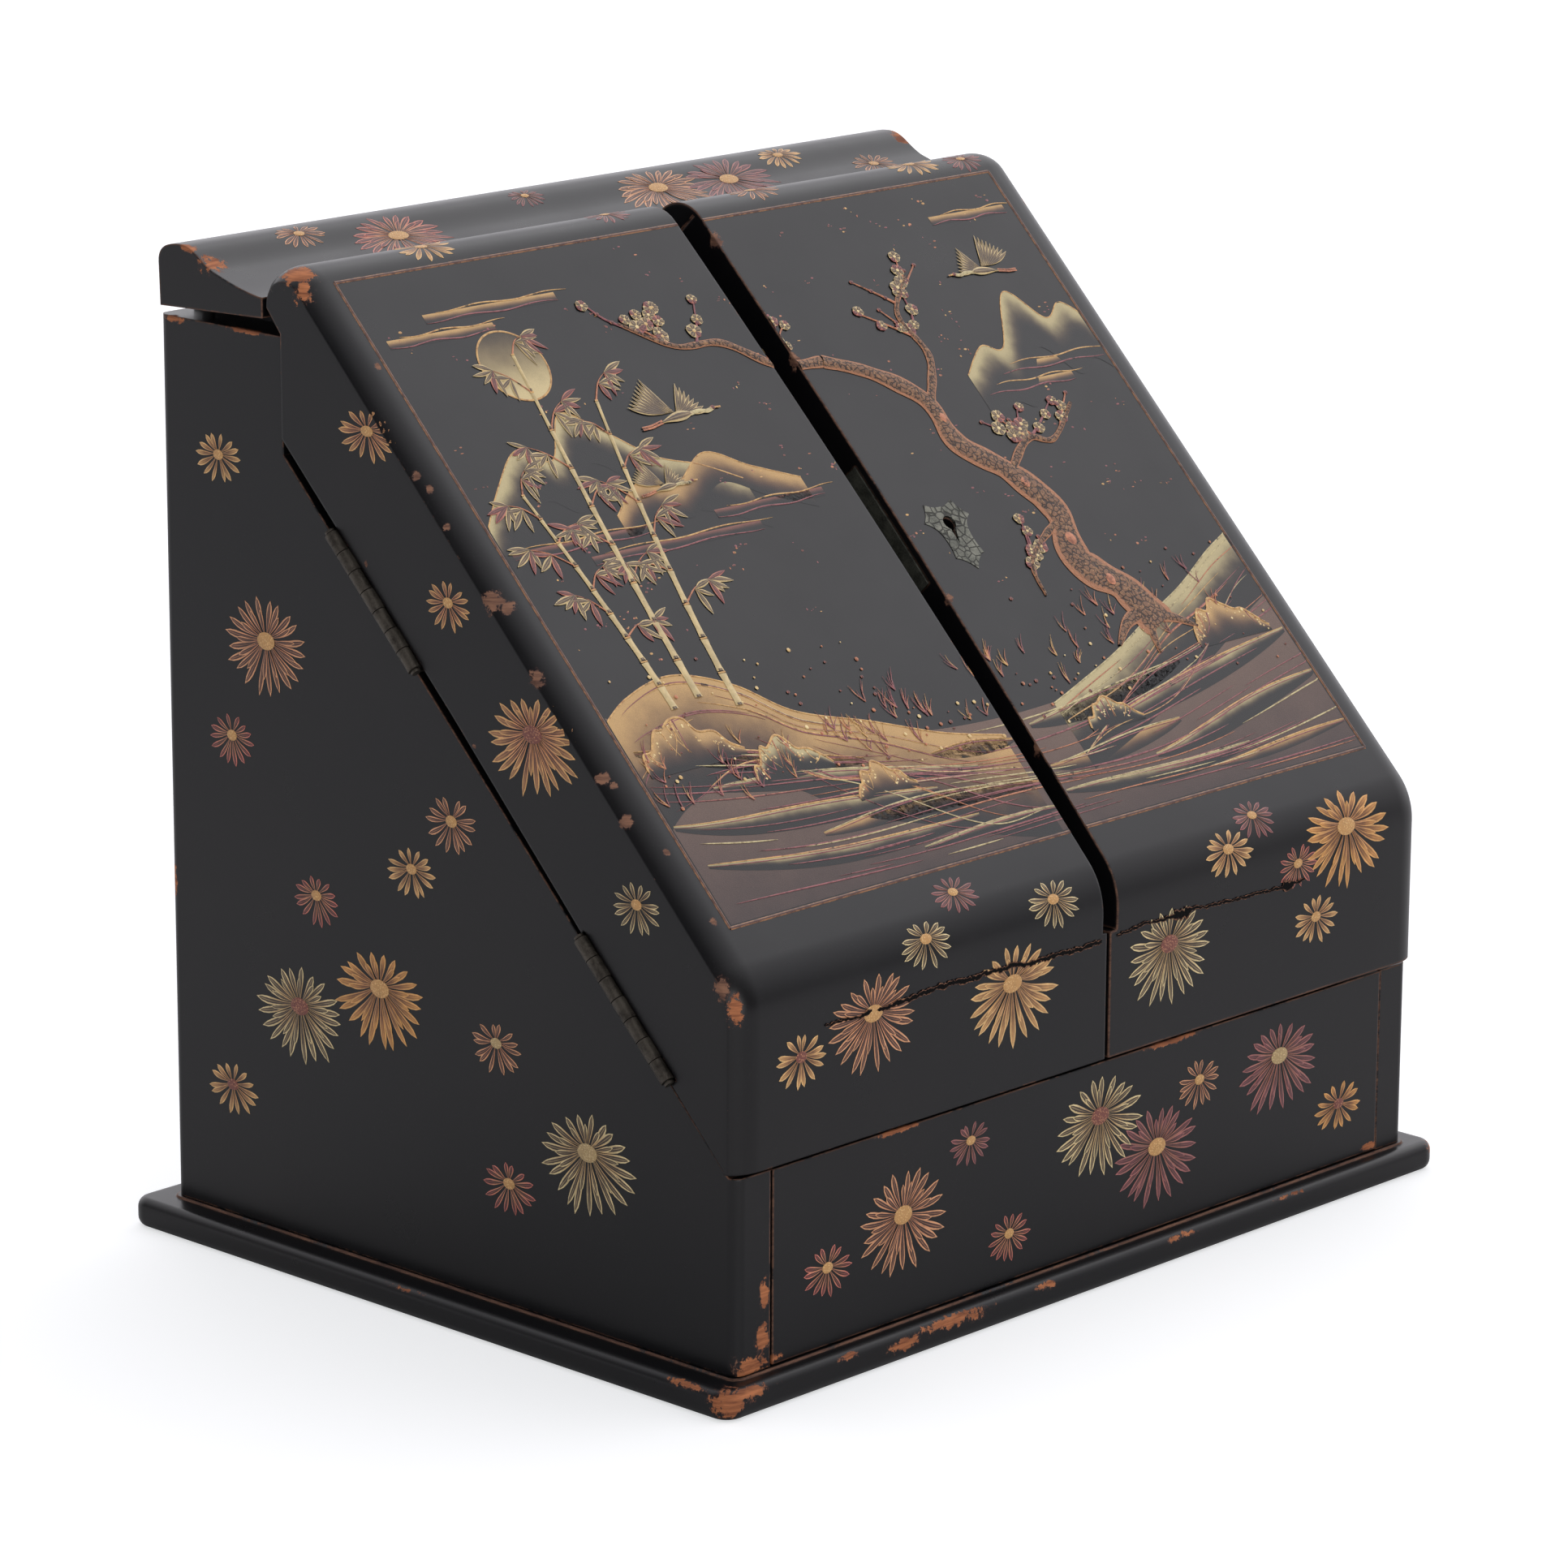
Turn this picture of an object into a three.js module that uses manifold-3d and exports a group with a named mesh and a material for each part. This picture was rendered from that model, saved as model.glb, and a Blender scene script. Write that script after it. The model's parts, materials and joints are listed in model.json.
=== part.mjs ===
// Lacquer stationery chest: a sloping-front writing cabinet with two doors that wrap round the slope,
// the front and the sides, a hinged top flap, a letter rack behind the doors and one drawer below.
// Millimetres, +Z up, front towards -Y, the origin under the middle of the plinth.
import * as THREE from "three";
import { mergeVertices } from "three/addons/utils/BufferGeometryUtils.js";
import Module from "manifold-3d";

const wasm = await Module();
wasm.setup();

// Fits, shared by every piece
const glueLine = 0.2; // between boards that are glued together
const seatGap = 0.3; // under a piece that rests on or in another
const overrun = 20; // how far a cutter runs past what it cuts
const weldDistance = 0.0001; // vertices nearer than this are one

// Case: two side boards, a back and a plinth that is also its floor
const caseWidth = 329;
const caseDepth = 256.5;
const sideHeight = 295.8;
const sideThickness = 15;
const backThickness = 10;
const caseEdgeRadius = 4;
const plinthThickness = 9.8;
const plinthSideOverhang = 11;
const plinthFrontOverhang = 7;
const plinthBackOverhang = 11;
const plinthCornerRadius = 4;
const plinthNoseHeight = 3.4;
const plinthNoseDepth = 3;
const padHeight = 0.8; // a low step that the case stands on
const padLedge = 1;

// Doors: each is a side cheek, a slope board, an apron and a rolled top rail
const doorSideProud = 2;
const doorFrontProud = 2.1;
const doorFrontHeight = 57.5; // door foot to where the slope and apron planes meet
const rollRise = 22.1; // top of the case to the crest of the roll
const slopeThickness = 13;
const apronThickness = 13.5;
const cheekThickness = 14.5;
const slopeCornerRadius = 24;
const rollRadius = 12.3;
const rollAxisInset = 9.4; // upright rear face of the doors to the axis of the roll
const railDepth = 28;
const railJointRise = 2; // rail joint above the point where the roll meets the slope
const apronJointHeight = 42; // door foot to the joint between apron and slope board
const arrisWidth = 10.5;
const arrisDrop = 8;
const arrisPlaned = 1.5; // outermost part of the arris round that the cheek face cuts off
const doorDrawerGap = 1.8;
const apronGap = 2; // between the aprons
const meetingLine = 4.8; // where the doors meet, right of the middle
const slopeBow = 3.6; // how far the shrunk slope boards bow to the right of that line
const slopeGapFoot = 6.8;
const slopeGapMiddle = 10;
const slopeGapTop = 12;

// Seam between each door and the case side: upright behind the roll, then down at an angle. It is drawn
// along a line near the case; the doors stand off it by the thickness of their hinges, and less at the foot.
const seamGap = 1.6;
const seamGapFoot = 0.9; // seam line to the foot of the door's edge
const seamTaperDrop = 110; // knee to where the door's edge starts to close up
const kneeInset = 6.6; // upright rear face of the doors to the knee of the seam
const kneeDrop = 37.5; // top of the case to the knee
const seamFootInset = 3.9; // front of the case to the foot of the seam
const rearBevelRise = 1.4; // top of the case to the lower end of the bevel behind the roll
const rearBevelHeight = 9;

// Top flap, an ogee moulded board that turns on two butt hinges at the back
const lidSideProud = 2.2;
const lidBackInset = 3.3;
const lidDepth = 48.6;
const lidBackGap = 3.4;
const restStripWidth = 8; // strip on the back panel that the flap comes down to
const lidRise = 1.9; // how much higher the underside is at the front
const lidRidgeHeight = 20.7;
const lidRidgeInset = 10.4;
const lidBackHeight = 14.3;
const lidBackLean = 0.5;
const lidFrontThickness = 6.5;
const lidDoorGap = 0.7;

// Drawer
const drawerFrontHeight = 62.7;
const drawerFloorGap = 0.4;
const drawerSideGap = 0.8;
const drawerShift = 0.4; // the drawer hangs a little to the right in its opening
const drawerFrontThickness = 14;
const drawerSideThickness = 7;
const drawerBackThickness = 7;
const drawerBottomThickness = 4;
const drawerBottomRise = 5;
const drawerSideDrop = 9; // drawer sides below the top of the front
const drawerBackGap = 8;
const fingerHollowWidth = 60;
const fingerHollowDepth = 4;
const fingerHollowHeight = 11;
const runnerWidth = 9;
const runnerHeight = 4;
const runnerStopHeight = 14;
const runnerStopLength = 5;

// Letter rack and pen tray on the desk board over the drawer
const deskThickness = 7;
const deskClearance = 1;
const deskFrontGap = 1.2;
const rackEndThickness = 6;
const rackSlopeMargin = 8; // rack ends below the seam
const rackFrontMargin = 3.5; // rack ends in front of the last divider
const dividerThickness = 5;
const grooveDepth = 2;
const firstDividerInset = 12.8; // knee of the seam to the first divider's face
const dividerCount = 4;
const dividerTopMargin = 12; // dividers below the seam
const dividerScoop = 9;
const dividerScoopWidth = 150;
const dividerShoulder = 14;
const upperRailThickness = 12;
const upperRailHeight = 28;
const trayWidth = 35.9;
const trayHeight = 12;
const trayGap = 1;
const trayWall = 5;
const trayHollowRadius = 16;
const trayHollowDepth = 8;

// Door hinges: leaves let into the seam, barrels proud of the side
const hingeLength = 53;
const upperHingeDrop = 58.6; // knee to the middle of the hinge, down the seam
const lowerHingeRise = 59.7; // foot of the seam to the middle of the hinge
const doorKnuckles = 7;
const doorBarrelRadius = 2.3;
const doorPinRadius = 1;
const doorPinProud = 0.8;
const doorLeafWidth = 11;
const doorLeafThickness = 1.2;
const pinClearance = 0.14;
const knuckleGap = 0.3;
const pinHeadLength = 0.8;

// Lid hinges: leaves laid on the back board and under the flap
const lidHingeLength = 44;
const lidHingeInset = 62; // case side to the middle of the hinge
const lidKnuckles = 5;
const lidBarrelRadius = 1.6;
const lidPinRadius = 0.75;
const lidLeafWidth = 9;
const lidLeafThickness = 0.9;
const lidPinInset = 0.9;

// Lock on the right door, strike on the left one
const lockRise = 143.5; // up the slope from its foot to the middle of the lock
const lockHeight = 47;
const lockWidth = 46;
const lockDepth = 8;
const lockWall = 1;
const selvedgeThickness = 1.2;
const selvedgeProud = 0.6;
const selvedgeWidth = 8.6;
const selvedgeSink = 3.2; // below the face of the door
const boltHeight = 12;
const boltThickness = 3.6;
const boltLength = 26;
const boltEngagement = 2.5;
const boltClearance = 0.4;
const talonRadius = 3.2;
const strikeThickness = 1;
const keyholeInset = 21; // meeting edge to the keyhole
const keyholeRadius = 2.6;
const keyholeSlotWidth = 2.4;
const keyholeSlotLength = 8.5;
const keyholeDrop = 5.5; // lock middle down to the keyhole's round
const boltKeyGap = 1.2; // between the keyhole's round and the bolt
const drillPinRadius = 1.3;
const escutcheonWidth = 22;
const escutcheonHeight = 27;
const escutcheonHeadroom = 8.3; // keyhole's round to the top of the plate
const escutcheonThickness = 0.8;
const escutcheonProud = 0.3;

// Number of facets on round stretches
const rollFacets = 14;
const cornerFacets = 8;
const arrisFacets = 6;
const barrelFacets = 16;
const curveFacets = 12;

// Finishes
const lacquer = { color: 0x15161a, roughness: 0.32, metalness: 0.0 };
const innerLacquer = { color: 0x1d1715, roughness: 0.45, metalness: 0.0 };
const brassPatina = { color: 0x4a3d2a, roughness: 0.5, metalness: 0.9 };
const engravedMetal = { color: 0x6a6a5c, roughness: 0.5, metalness: 0.85 };
const bareWood = { color: 0x9a6a42, roughness: 0.7, metalness: 0.0 };

// Levels and depths worked out from the sizes above. Depth runs forward from the back of the case.
const halfCase = caseWidth / 2;
const halfInside = halfCase - sideThickness;
const caseFoot = plinthThickness + padHeight;
const caseTop = caseFoot + sideHeight;
const drawerFoot = caseFoot + drawerFloorGap;
const drawerTop = drawerFoot + drawerFrontHeight;
const doorFoot = drawerTop + doorDrawerGap;
const doorTop = caseTop + rollRise;
const doorFront = caseDepth + doorFrontProud;
const halfDoors = halfCase + doorSideProud;
const slopeFoot = doorFoot + doorFrontHeight;
const stileTop = doorFoot - seamGap;
const lidFront = lidBackInset + lidDepth;
const doorRear = lidFront + lidDoorGap;
const lidFoot = caseTop + lidBackGap;
const deskFoot = drawerTop + deskClearance;
const deskTop = deskFoot + deskThickness;
const halfRack = halfInside - glueLine - rackEndThickness;
const plinthDepth = plinthFrontOverhang + caseDepth + plinthBackOverhang;
const caseBack = plinthDepth / 2 - plinthBackOverhang;

// The slope runs from its foot to touch the roll, and the seam from the knee to its foot
const rollHeight = doorTop - rollRadius;
const rollDepth = doorRear + rollAxisInset;
const rollRun = doorFront - rollDepth;
const rollClimb = rollHeight - slopeFoot;
const slopeAngle = Math.atan2(rollClimb, rollRun) + Math.asin(rollRadius / Math.hypot(rollRun, rollClimb));
const kneeDepth = doorRear + kneeInset;
const kneeHeight = caseTop - kneeDrop;
const seamRun = caseDepth - seamFootInset - kneeDepth;
const seamLength = Math.hypot(seamRun, kneeHeight - doorFoot);
const seamAngle = Math.atan2(kneeHeight - doorFoot, seamRun);
// The hinge pins lie in the middle of the seam, with a leaf against each board
const pinShift = doorBarrelRadius + seatGap - seamGap / 2;
const doorSeamShift = pinShift + doorBarrelRadius + seatGap;

const slopeSine = Math.sin(slopeAngle);
const slopeCosine = Math.cos(slopeAngle);
const seamSine = Math.sin(seamAngle);
const seamCosine = Math.cos(seamAngle);

// Depth of the slope plane, sunk by some distance, at a height
const slopeDepthAt = (height, sink = 0) =>
  doorFront - (sink + (height - slopeFoot) * slopeCosine) / slopeSine;
// Height of the slope plane, sunk by some distance, at a depth
const slopeHeightAt = (depth, sink = 0) =>
  slopeFoot + ((doorFront - depth) * slopeSine - sink) / slopeCosine;
// Depth of the seam line, shifted towards the door, at a height
const seamDepthAt = (height, shift = 0) =>
  kneeDepth + (shift - (height - kneeHeight) * seamCosine) / seamSine;
// Height of the seam line, shifted towards the door, at a depth
const seamHeightAt = (depth, shift = 0) =>
  kneeHeight + (shift - (depth - kneeDepth) * seamSine) / seamCosine;
// Height of the flap's underside at a depth
const lidUndersideAt = (depth) => lidFoot + (lidRise * (depth - lidBackInset)) / lidDepth;

const rollTangent = rollRun * slopeCosine + rollClimb * slopeSine;
const slopeNormalAngle = Math.PI / 2 - slopeAngle;

// A closed three.js geometry as a solid that can be cut and joined
function toSolid(geometry) {
  const bare = new THREE.BufferGeometry();
  bare.setAttribute("position", geometry.getAttribute("position"));
  if (geometry.index) bare.setIndex(geometry.index);
  const merged = mergeVertices(bare, weldDistance);
  const vertProperties = new Float32Array(merged.getAttribute("position").array);
  const triVerts = new Uint32Array(merged.index.array);
  return new wasm.Manifold(new wasm.Mesh({ numProp: 3, vertProperties, triVerts }));
}

// A solid as a three.js geometry with flat faces
function toGeometry(solid) {
  const { vertProperties, triVerts } = solid.getMesh();
  const indexed = new THREE.BufferGeometry();
  indexed.setAttribute("position", new THREE.BufferAttribute(vertProperties, 3));
  indexed.setIndex(new THREE.BufferAttribute(triVerts, 1));
  const flat = indexed.toNonIndexed();
  flat.computeVertexNormals();
  return flat;
}

const cut = (solid, ...tools) => tools.reduce((rest, tool) => rest.subtract(tool), solid);
const join = (first, ...others) => others.reduce((whole, other) => whole.add(other), first);
const common = (first, ...others) => others.reduce((part, other) => part.intersect(other), first);

// A solid moved into the frame of a group or mesh
const placed = (geometry, frame) => toSolid(geometry.clone().applyMatrix4(frame.matrix));

// A block between two corners, in any order
function blockGeometry(from, to) {
  const low = from.map((value, axis) => Math.min(value, to[axis]));
  const size = from.map((value, axis) => Math.abs(to[axis] - value));
  const box = new THREE.BoxGeometry(...size);
  box.translate(...low.map((value, axis) => value + size[axis] / 2));
  return box;
}
const block = (from, to) => toSolid(blockGeometry(from, to));

// Side profiles are drawn as depth and height, and run across the chest between two x values
const acrossFrame = new THREE.Matrix4().makeBasis(
  new THREE.Vector3(0, -1, 0),
  new THREE.Vector3(0, 0, 1),
  new THREE.Vector3(-1, 0, 0),
);
function acrossGeometry(shape, xFrom, xTo, options = {}) {
  const settings = { bevelEnabled: false, curveSegments: curveFacets, ...options };
  const profile = new THREE.ExtrudeGeometry(shape, { depth: Math.abs(xTo - xFrom), ...settings });
  profile.applyMatrix4(acrossFrame);
  profile.translate(Math.max(xFrom, xTo), 0, 0);
  return profile;
}
const across = (shape, xFrom, xTo, options) => toSolid(acrossGeometry(shape, xFrom, xTo, options));

// Front profiles are drawn as x and height, and run back from one depth to another
function alongGeometry(shape, depthFrom, depthTo) {
  const settings = { bevelEnabled: false, curveSegments: curveFacets };
  const profile = new THREE.ExtrudeGeometry(shape, { depth: Math.abs(depthTo - depthFrom), ...settings });
  profile.rotateX(Math.PI / 2);
  profile.translate(0, -Math.min(depthFrom, depthTo), 0);
  return profile;
}
const along = (shape, depthFrom, depthTo) => toSolid(alongGeometry(shape, depthFrom, depthTo));

// Plans are drawn as x and y, and run up from one height to another
function plan(shape, heightFrom, heightTo, options = {}) {
  const settings = { bevelEnabled: false, curveSegments: cornerFacets, ...options };
  const profile = new THREE.ExtrudeGeometry(shape, { depth: heightTo - heightFrom, ...settings });
  profile.translate(0, 0, heightFrom);
  return toSolid(profile);
}

function polygon(points) {
  const shape = new THREE.Shape();
  points.forEach(([x, y], index) => (index ? shape.lineTo(x, y) : shape.moveTo(x, y)));
  shape.closePath();
  return shape;
}

// A rectangle with round corners between two corners
function roundRectangle(left, bottom, right, top, radius) {
  const shape = new THREE.Shape();
  shape.moveTo(left + radius, bottom);
  shape.lineTo(right - radius, bottom);
  shape.absarc(right - radius, bottom + radius, radius, -Math.PI / 2, 0);
  shape.lineTo(right, top - radius);
  shape.absarc(right - radius, top - radius, radius, 0, Math.PI / 2);
  shape.lineTo(left + radius, top);
  shape.absarc(left + radius, top - radius, radius, Math.PI / 2, Math.PI);
  shape.lineTo(left, bottom + radius);
  shape.absarc(left + radius, bottom + radius, radius, Math.PI, Math.PI * 1.5);
  return shape;
}

// The chest's own frame: x across, y = 0 at the back of the case, z up from the table
const chest = new THREE.Group();
chest.position.set(0, caseBack, 0);

// Slope frame: x across, y up the slope from its foot, z out of the slope
const slopeFrame = new THREE.Group();
slopeFrame.position.set(0, -doorFront, slopeFoot);
slopeFrame.rotation.x = slopeAngle;
slopeFrame.updateMatrix();
chest.add(slopeFrame);

function addPiece(parent, name, solid, finish) {
  const material = new THREE.MeshStandardMaterial({ name, ...finish });
  const mesh = new THREE.Mesh(toGeometry(solid), material);
  mesh.name = name;
  parent.add(mesh);
  return mesh;
}

// Plinth

function plinth() {
  const left = -halfCase - plinthSideOverhang;
  const back = plinthBackOverhang;
  const front = -caseDepth - plinthFrontOverhang;
  const nose = plinthNoseDepth;
  const corners = [left + nose, front + nose, -left - nose, back - nose];
  const outline = roundRectangle(...corners, plinthCornerRadius);
  const settings = {
    bevelEnabled: true,
    bevelThickness: plinthNoseHeight,
    bevelSize: nose,
    bevelSegments: arrisFacets,
  };
  const board = plan(outline, plinthNoseHeight, plinthThickness - plinthNoseHeight, settings);
  const halfPad = halfCase + padLedge;
  const pad = roundRectangle(-halfPad, -caseDepth - padLedge, halfPad, padLedge, caseEdgeRadius);
  return join(board, plan(pad, plinthThickness / 2, caseFoot - glueLine));
}

// Case boards

const caseEnvelope = plan(
  roundRectangle(-halfCase, -caseDepth, halfCase, 0, caseEdgeRadius),
  -overrun,
  caseTop + overrun,
);

// The side board's outline, with the seam cut into its front
function sideOutline() {
  const shift = -seamGap / 2;
  const kneeFront = kneeDepth + shift;
  return polygon([
    [0, caseFoot],
    [caseDepth, caseFoot],
    [caseDepth, stileTop],
    [seamDepthAt(stileTop, shift), stileTop],
    [kneeFront, seamHeightAt(kneeFront, shift)],
    [kneeFront, caseTop],
    [0, caseTop],
  ]);
}

function sidePanel(side) {
  const board = across(sideOutline(), side * halfInside, side * halfCase);
  return common(board, caseEnvelope);
}

function backPanel() {
  const half = halfInside - glueLine;
  return block([-half, -backThickness, caseFoot], [half, 0, caseTop]);
}

// Strips on the back panel, between and beside the hinges of the top flap
function restStrips() {
  const end = halfInside - glueLine;
  const room = lidHingeLength / 2 + pinHeadLength * 2;
  const near = halfCase - lidHingeInset - room;
  const far = halfCase - lidHingeInset + room;
  const foot = caseTop + glueLine;
  const top = lidFoot - seatGap;
  const strip = (from, to) => block([from, -restStripWidth, foot], [to, 0, top]);
  return { left: strip(-end, -far), middle: strip(-near, near), right: strip(far, end) };
}

function deskBoard() {
  const half = halfInside - glueLine;
  const front = doorFront - apronThickness - deskFrontGap;
  return block([-half, -front, deskFoot], [half, -backThickness - glueLine, deskTop]);
}

// Drawer runner, with the stop that the drawer's back meets
function drawerRunner(side) {
  const back = backThickness + glueLine;
  const front = caseDepth - drawerFrontThickness - seatGap * 2;
  const outline = polygon([
    [back, caseFoot],
    [front, caseFoot],
    [front, caseFoot + runnerHeight],
    [back + runnerStopLength, caseFoot + runnerHeight],
    [back + runnerStopLength, caseFoot + runnerStopHeight],
    [back, caseFoot + runnerStopHeight],
  ]);
  const outer = halfInside - glueLine;
  return across(outline, side * (outer - runnerWidth), side * outer);
}

// Letter rack

const rackFoot = deskTop + glueLine;
const trayFront = doorFront - apronThickness - deskFrontGap - trayGap;
const trayBack = trayFront - trayWidth;
const rackFrontDepth = trayBack - trayGap;
const firstDividerDepth = kneeDepth + firstDividerInset;
const dividerPitch = (rackFrontDepth - rackFrontMargin - firstDividerDepth) / (dividerCount - 1);
const dividerFronts = Array.from(
  { length: dividerCount },
  (_, index) => firstDividerDepth + index * dividerPitch,
);

function rackEnd(side) {
  const back = backThickness + glueLine;
  const margin = -rackSlopeMargin;
  const rackKnee = kneeDepth - rackSlopeMargin;
  const outline = polygon([
    [back, rackFoot],
    [rackFrontDepth, rackFoot],
    [rackFrontDepth, seamHeightAt(rackFrontDepth, margin)],
    [rackKnee, seamHeightAt(rackKnee, margin)],
    [rackKnee, lidUndersideAt(rackKnee) - seatGap],
    [back, lidUndersideAt(back) - seatGap],
  ]);
  const grooves = dividerFronts.map((front) =>
    block(
      [side * (halfRack - overrun), -front - glueLine, rackFoot - overrun],
      [side * (halfRack + grooveDepth), -front + dividerThickness + glueLine, caseTop + overrun],
    ),
  );
  return cut(across(outline, side * halfRack, side * (halfRack + rackEndThickness)), ...grooves);
}

// A divider has round shoulders and a shallow scoop in its top edge
function divider(front) {
  const half = halfRack + grooveDepth - glueLine;
  const top = seamHeightAt(front, 0) - dividerTopMargin;
  const foot = rackFoot;
  const scoop = dividerScoopWidth / 2;
  const shape = new THREE.Shape();
  shape.moveTo(-half, foot);
  shape.lineTo(half, foot);
  shape.lineTo(half, top - dividerShoulder);
  shape.quadraticCurveTo(half, top, half - dividerShoulder, top);
  shape.lineTo(scoop, top);
  shape.bezierCurveTo(scoop / 2, top, scoop / 2, top - dividerScoop, 0, top - dividerScoop);
  shape.bezierCurveTo(-scoop / 2, top - dividerScoop, -scoop / 2, top, -scoop, top);
  shape.lineTo(dividerShoulder - half, top);
  shape.quadraticCurveTo(-half, top, -half, top - dividerShoulder);
  shape.closePath();
  return along(shape, front, front - dividerThickness);
}

function upperRail() {
  const front = kneeDepth - rackSlopeMargin;
  const half = halfRack - glueLine;
  const top = lidUndersideAt(front - upperRailThickness) - seatGap;
  return block([-half, -front, top - upperRailHeight], [half, upperRailThickness - front, top]);
}

// Pen tray: a low board with a coved hollow along it
function penTray() {
  const half = halfInside - trayGap;
  const top = rackFoot + trayHeight;
  const body = block([-half, -trayFront, rackFoot], [half, -trayBack, top]);
  const length = (half - trayWall) * 2;
  const cove = new THREE.CylinderGeometry(trayHollowRadius, trayHollowRadius, length, barrelFacets * 2);
  cove.rotateZ(Math.PI / 2);
  cove.translate(0, -(trayBack + trayFront) / 2, top + trayHollowRadius - trayHollowDepth);
  return cut(body, toSolid(cove));
}

// Drawer

const drawerHalf = halfInside - drawerSideGap;
const drawerBoxHalf = drawerHalf - seatGap;
const drawerRear = backThickness + drawerBackGap;
const drawerBoxFront = caseDepth - drawerFrontThickness - glueLine;
const drawerBoxFoot = caseFoot + runnerHeight + seatGap;
const drawerBoxTop = drawerTop - drawerSideDrop;

// The front has a hollow behind its top edge for the finger tips
function drawerFront() {
  const back = drawerFrontThickness - caseDepth;
  const board = block([-drawerHalf, -caseDepth, drawerFoot], [drawerHalf, back, drawerTop]);
  const half = fingerHollowWidth / 2;
  const foot = drawerTop - fingerHollowHeight;
  const hollow = roundRectangle(-half, foot, half, drawerTop + overrun, fingerHollowHeight / 2);
  const hollowFront = caseDepth - drawerFrontThickness + fingerHollowDepth;
  return cut(board, along(hollow, hollowFront, hollowFront - fingerHollowDepth - overrun));
}

function drawerSide(side) {
  const outer = side * drawerBoxHalf;
  const inner = side * (drawerBoxHalf - drawerSideThickness);
  return block([outer, -drawerBoxFront, drawerBoxFoot], [inner, -drawerRear, drawerBoxTop]);
}

function drawerBack() {
  const half = drawerBoxHalf - drawerSideThickness - glueLine;
  const foot = drawerBoxFoot + drawerBottomRise + drawerBottomThickness + glueLine;
  return block([-half, -drawerRear, foot], [half, -drawerRear - drawerBackThickness, drawerBoxTop]);
}

function drawerBottom() {
  const half = drawerBoxHalf - drawerSideThickness - glueLine;
  const foot = drawerBoxFoot + drawerBottomRise;
  return block([-half, -drawerBoxFront, foot], [half, -drawerRear, foot + drawerBottomThickness]);
}

// Doors

// Outline of both doors from the side: apron, round corner, slope and roll
function doorOutline() {
  const cornerDepth = doorFront - slopeCornerRadius;
  const cornerHeight = slopeHeightAt(cornerDepth, slopeCornerRadius);
  const shape = new THREE.Shape();
  shape.moveTo(rollDepth - rollRadius, doorFoot - overrun);
  shape.lineTo(doorFront, doorFoot - overrun);
  shape.lineTo(doorFront, cornerHeight);
  arc(shape, cornerDepth, cornerHeight, slopeCornerRadius, 0, slopeNormalAngle, cornerFacets);
  arc(shape, rollDepth, rollHeight, rollRadius, slopeNormalAngle, Math.PI, rollFacets);
  shape.closePath();
  return shape;
}

// An arc as a chosen number of straight facets
function arc(shape, x, y, radius, from, to, facets) {
  for (let step = 0; step <= facets; step += 1) {
    const angle = from + ((to - from) * step) / facets;
    shape.lineTo(x + radius * Math.cos(angle), y + radius * Math.sin(angle));
  }
}

// What lies in front of the seam, with the bevel behind the roll
function doorRegion() {
  const seamRear = kneeDepth + seamGap / 2;
  const bevelFoot = caseTop + rearBevelRise;
  const taperDepth = kneeDepth + seamTaperDrop * seamCosine;
  return polygon([
    [doorRear, doorTop + overrun],
    [doorRear, bevelFoot + rearBevelHeight],
    [seamRear, bevelFoot],
    [seamRear, seamHeightAt(seamRear, doorSeamShift)],
    [taperDepth, seamHeightAt(taperDepth, doorSeamShift)],
    [seamDepthAt(doorFoot, seamGapFoot), doorFoot],
    [doorFront + overrun, doorFoot],
    [doorFront + overrun, doorTop + overrun],
  ]);
}

// The hollow behind the boards, open towards the case
function doorHollow() {
  const inner = doorFront - apronThickness;
  const railFoot = doorTop - railDepth;
  return polygon([
    [inner, doorFoot - overrun],
    [inner, slopeHeightAt(inner, slopeThickness)],
    [slopeDepthAt(railFoot, slopeThickness), railFoot],
    [-overrun, railFoot],
    [-overrun, doorFoot - overrun],
  ]);
}

// The plane outline that the cheek is mitred to
function mitreOutline() {
  const high = doorTop + overrun * 2;
  return polygon([
    [doorFront, doorFoot - overrun * 2],
    [doorFront, slopeFoot],
    [slopeDepthAt(high), high],
    [-overrun * 2, high],
    [-overrun * 2, doorFoot - overrun * 2],
  ]);
}

// Everything above a height, or up the slope from a joint
const farSide = halfDoors + overrun * 2;
const above = (height) =>
  block([-farSide, -doorFront - overrun, height], [farSide, overrun, doorTop + overrun]);
function slopeBlock(from, to) {
  return placed(blockGeometry(from, to), slopeFrame);
}
const railJoint = rollTangent + railJointRise;
const apronJoint = doorFoot + apronJointHeight;

// Where a slope board ends at the meeting line, at a distance up the slope
const slopeBoardFoot = -slopeCornerRadius;
function meetingEdge(side, rise) {
  const share = (rise - slopeBoardFoot) / (rollTangent + rollRadius - slopeBoardFoot);
  const bow = 4 * share * (1 - share);
  const footPart = 2 * (share - 0.5) * (share - 1);
  const topPart = 2 * share * (share - 0.5);
  const gap = slopeGapFoot * footPart + slopeGapMiddle * bow + slopeGapTop * topPart;
  return meetingLine + slopeBow * bow + (side * gap) / 2;
}

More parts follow.
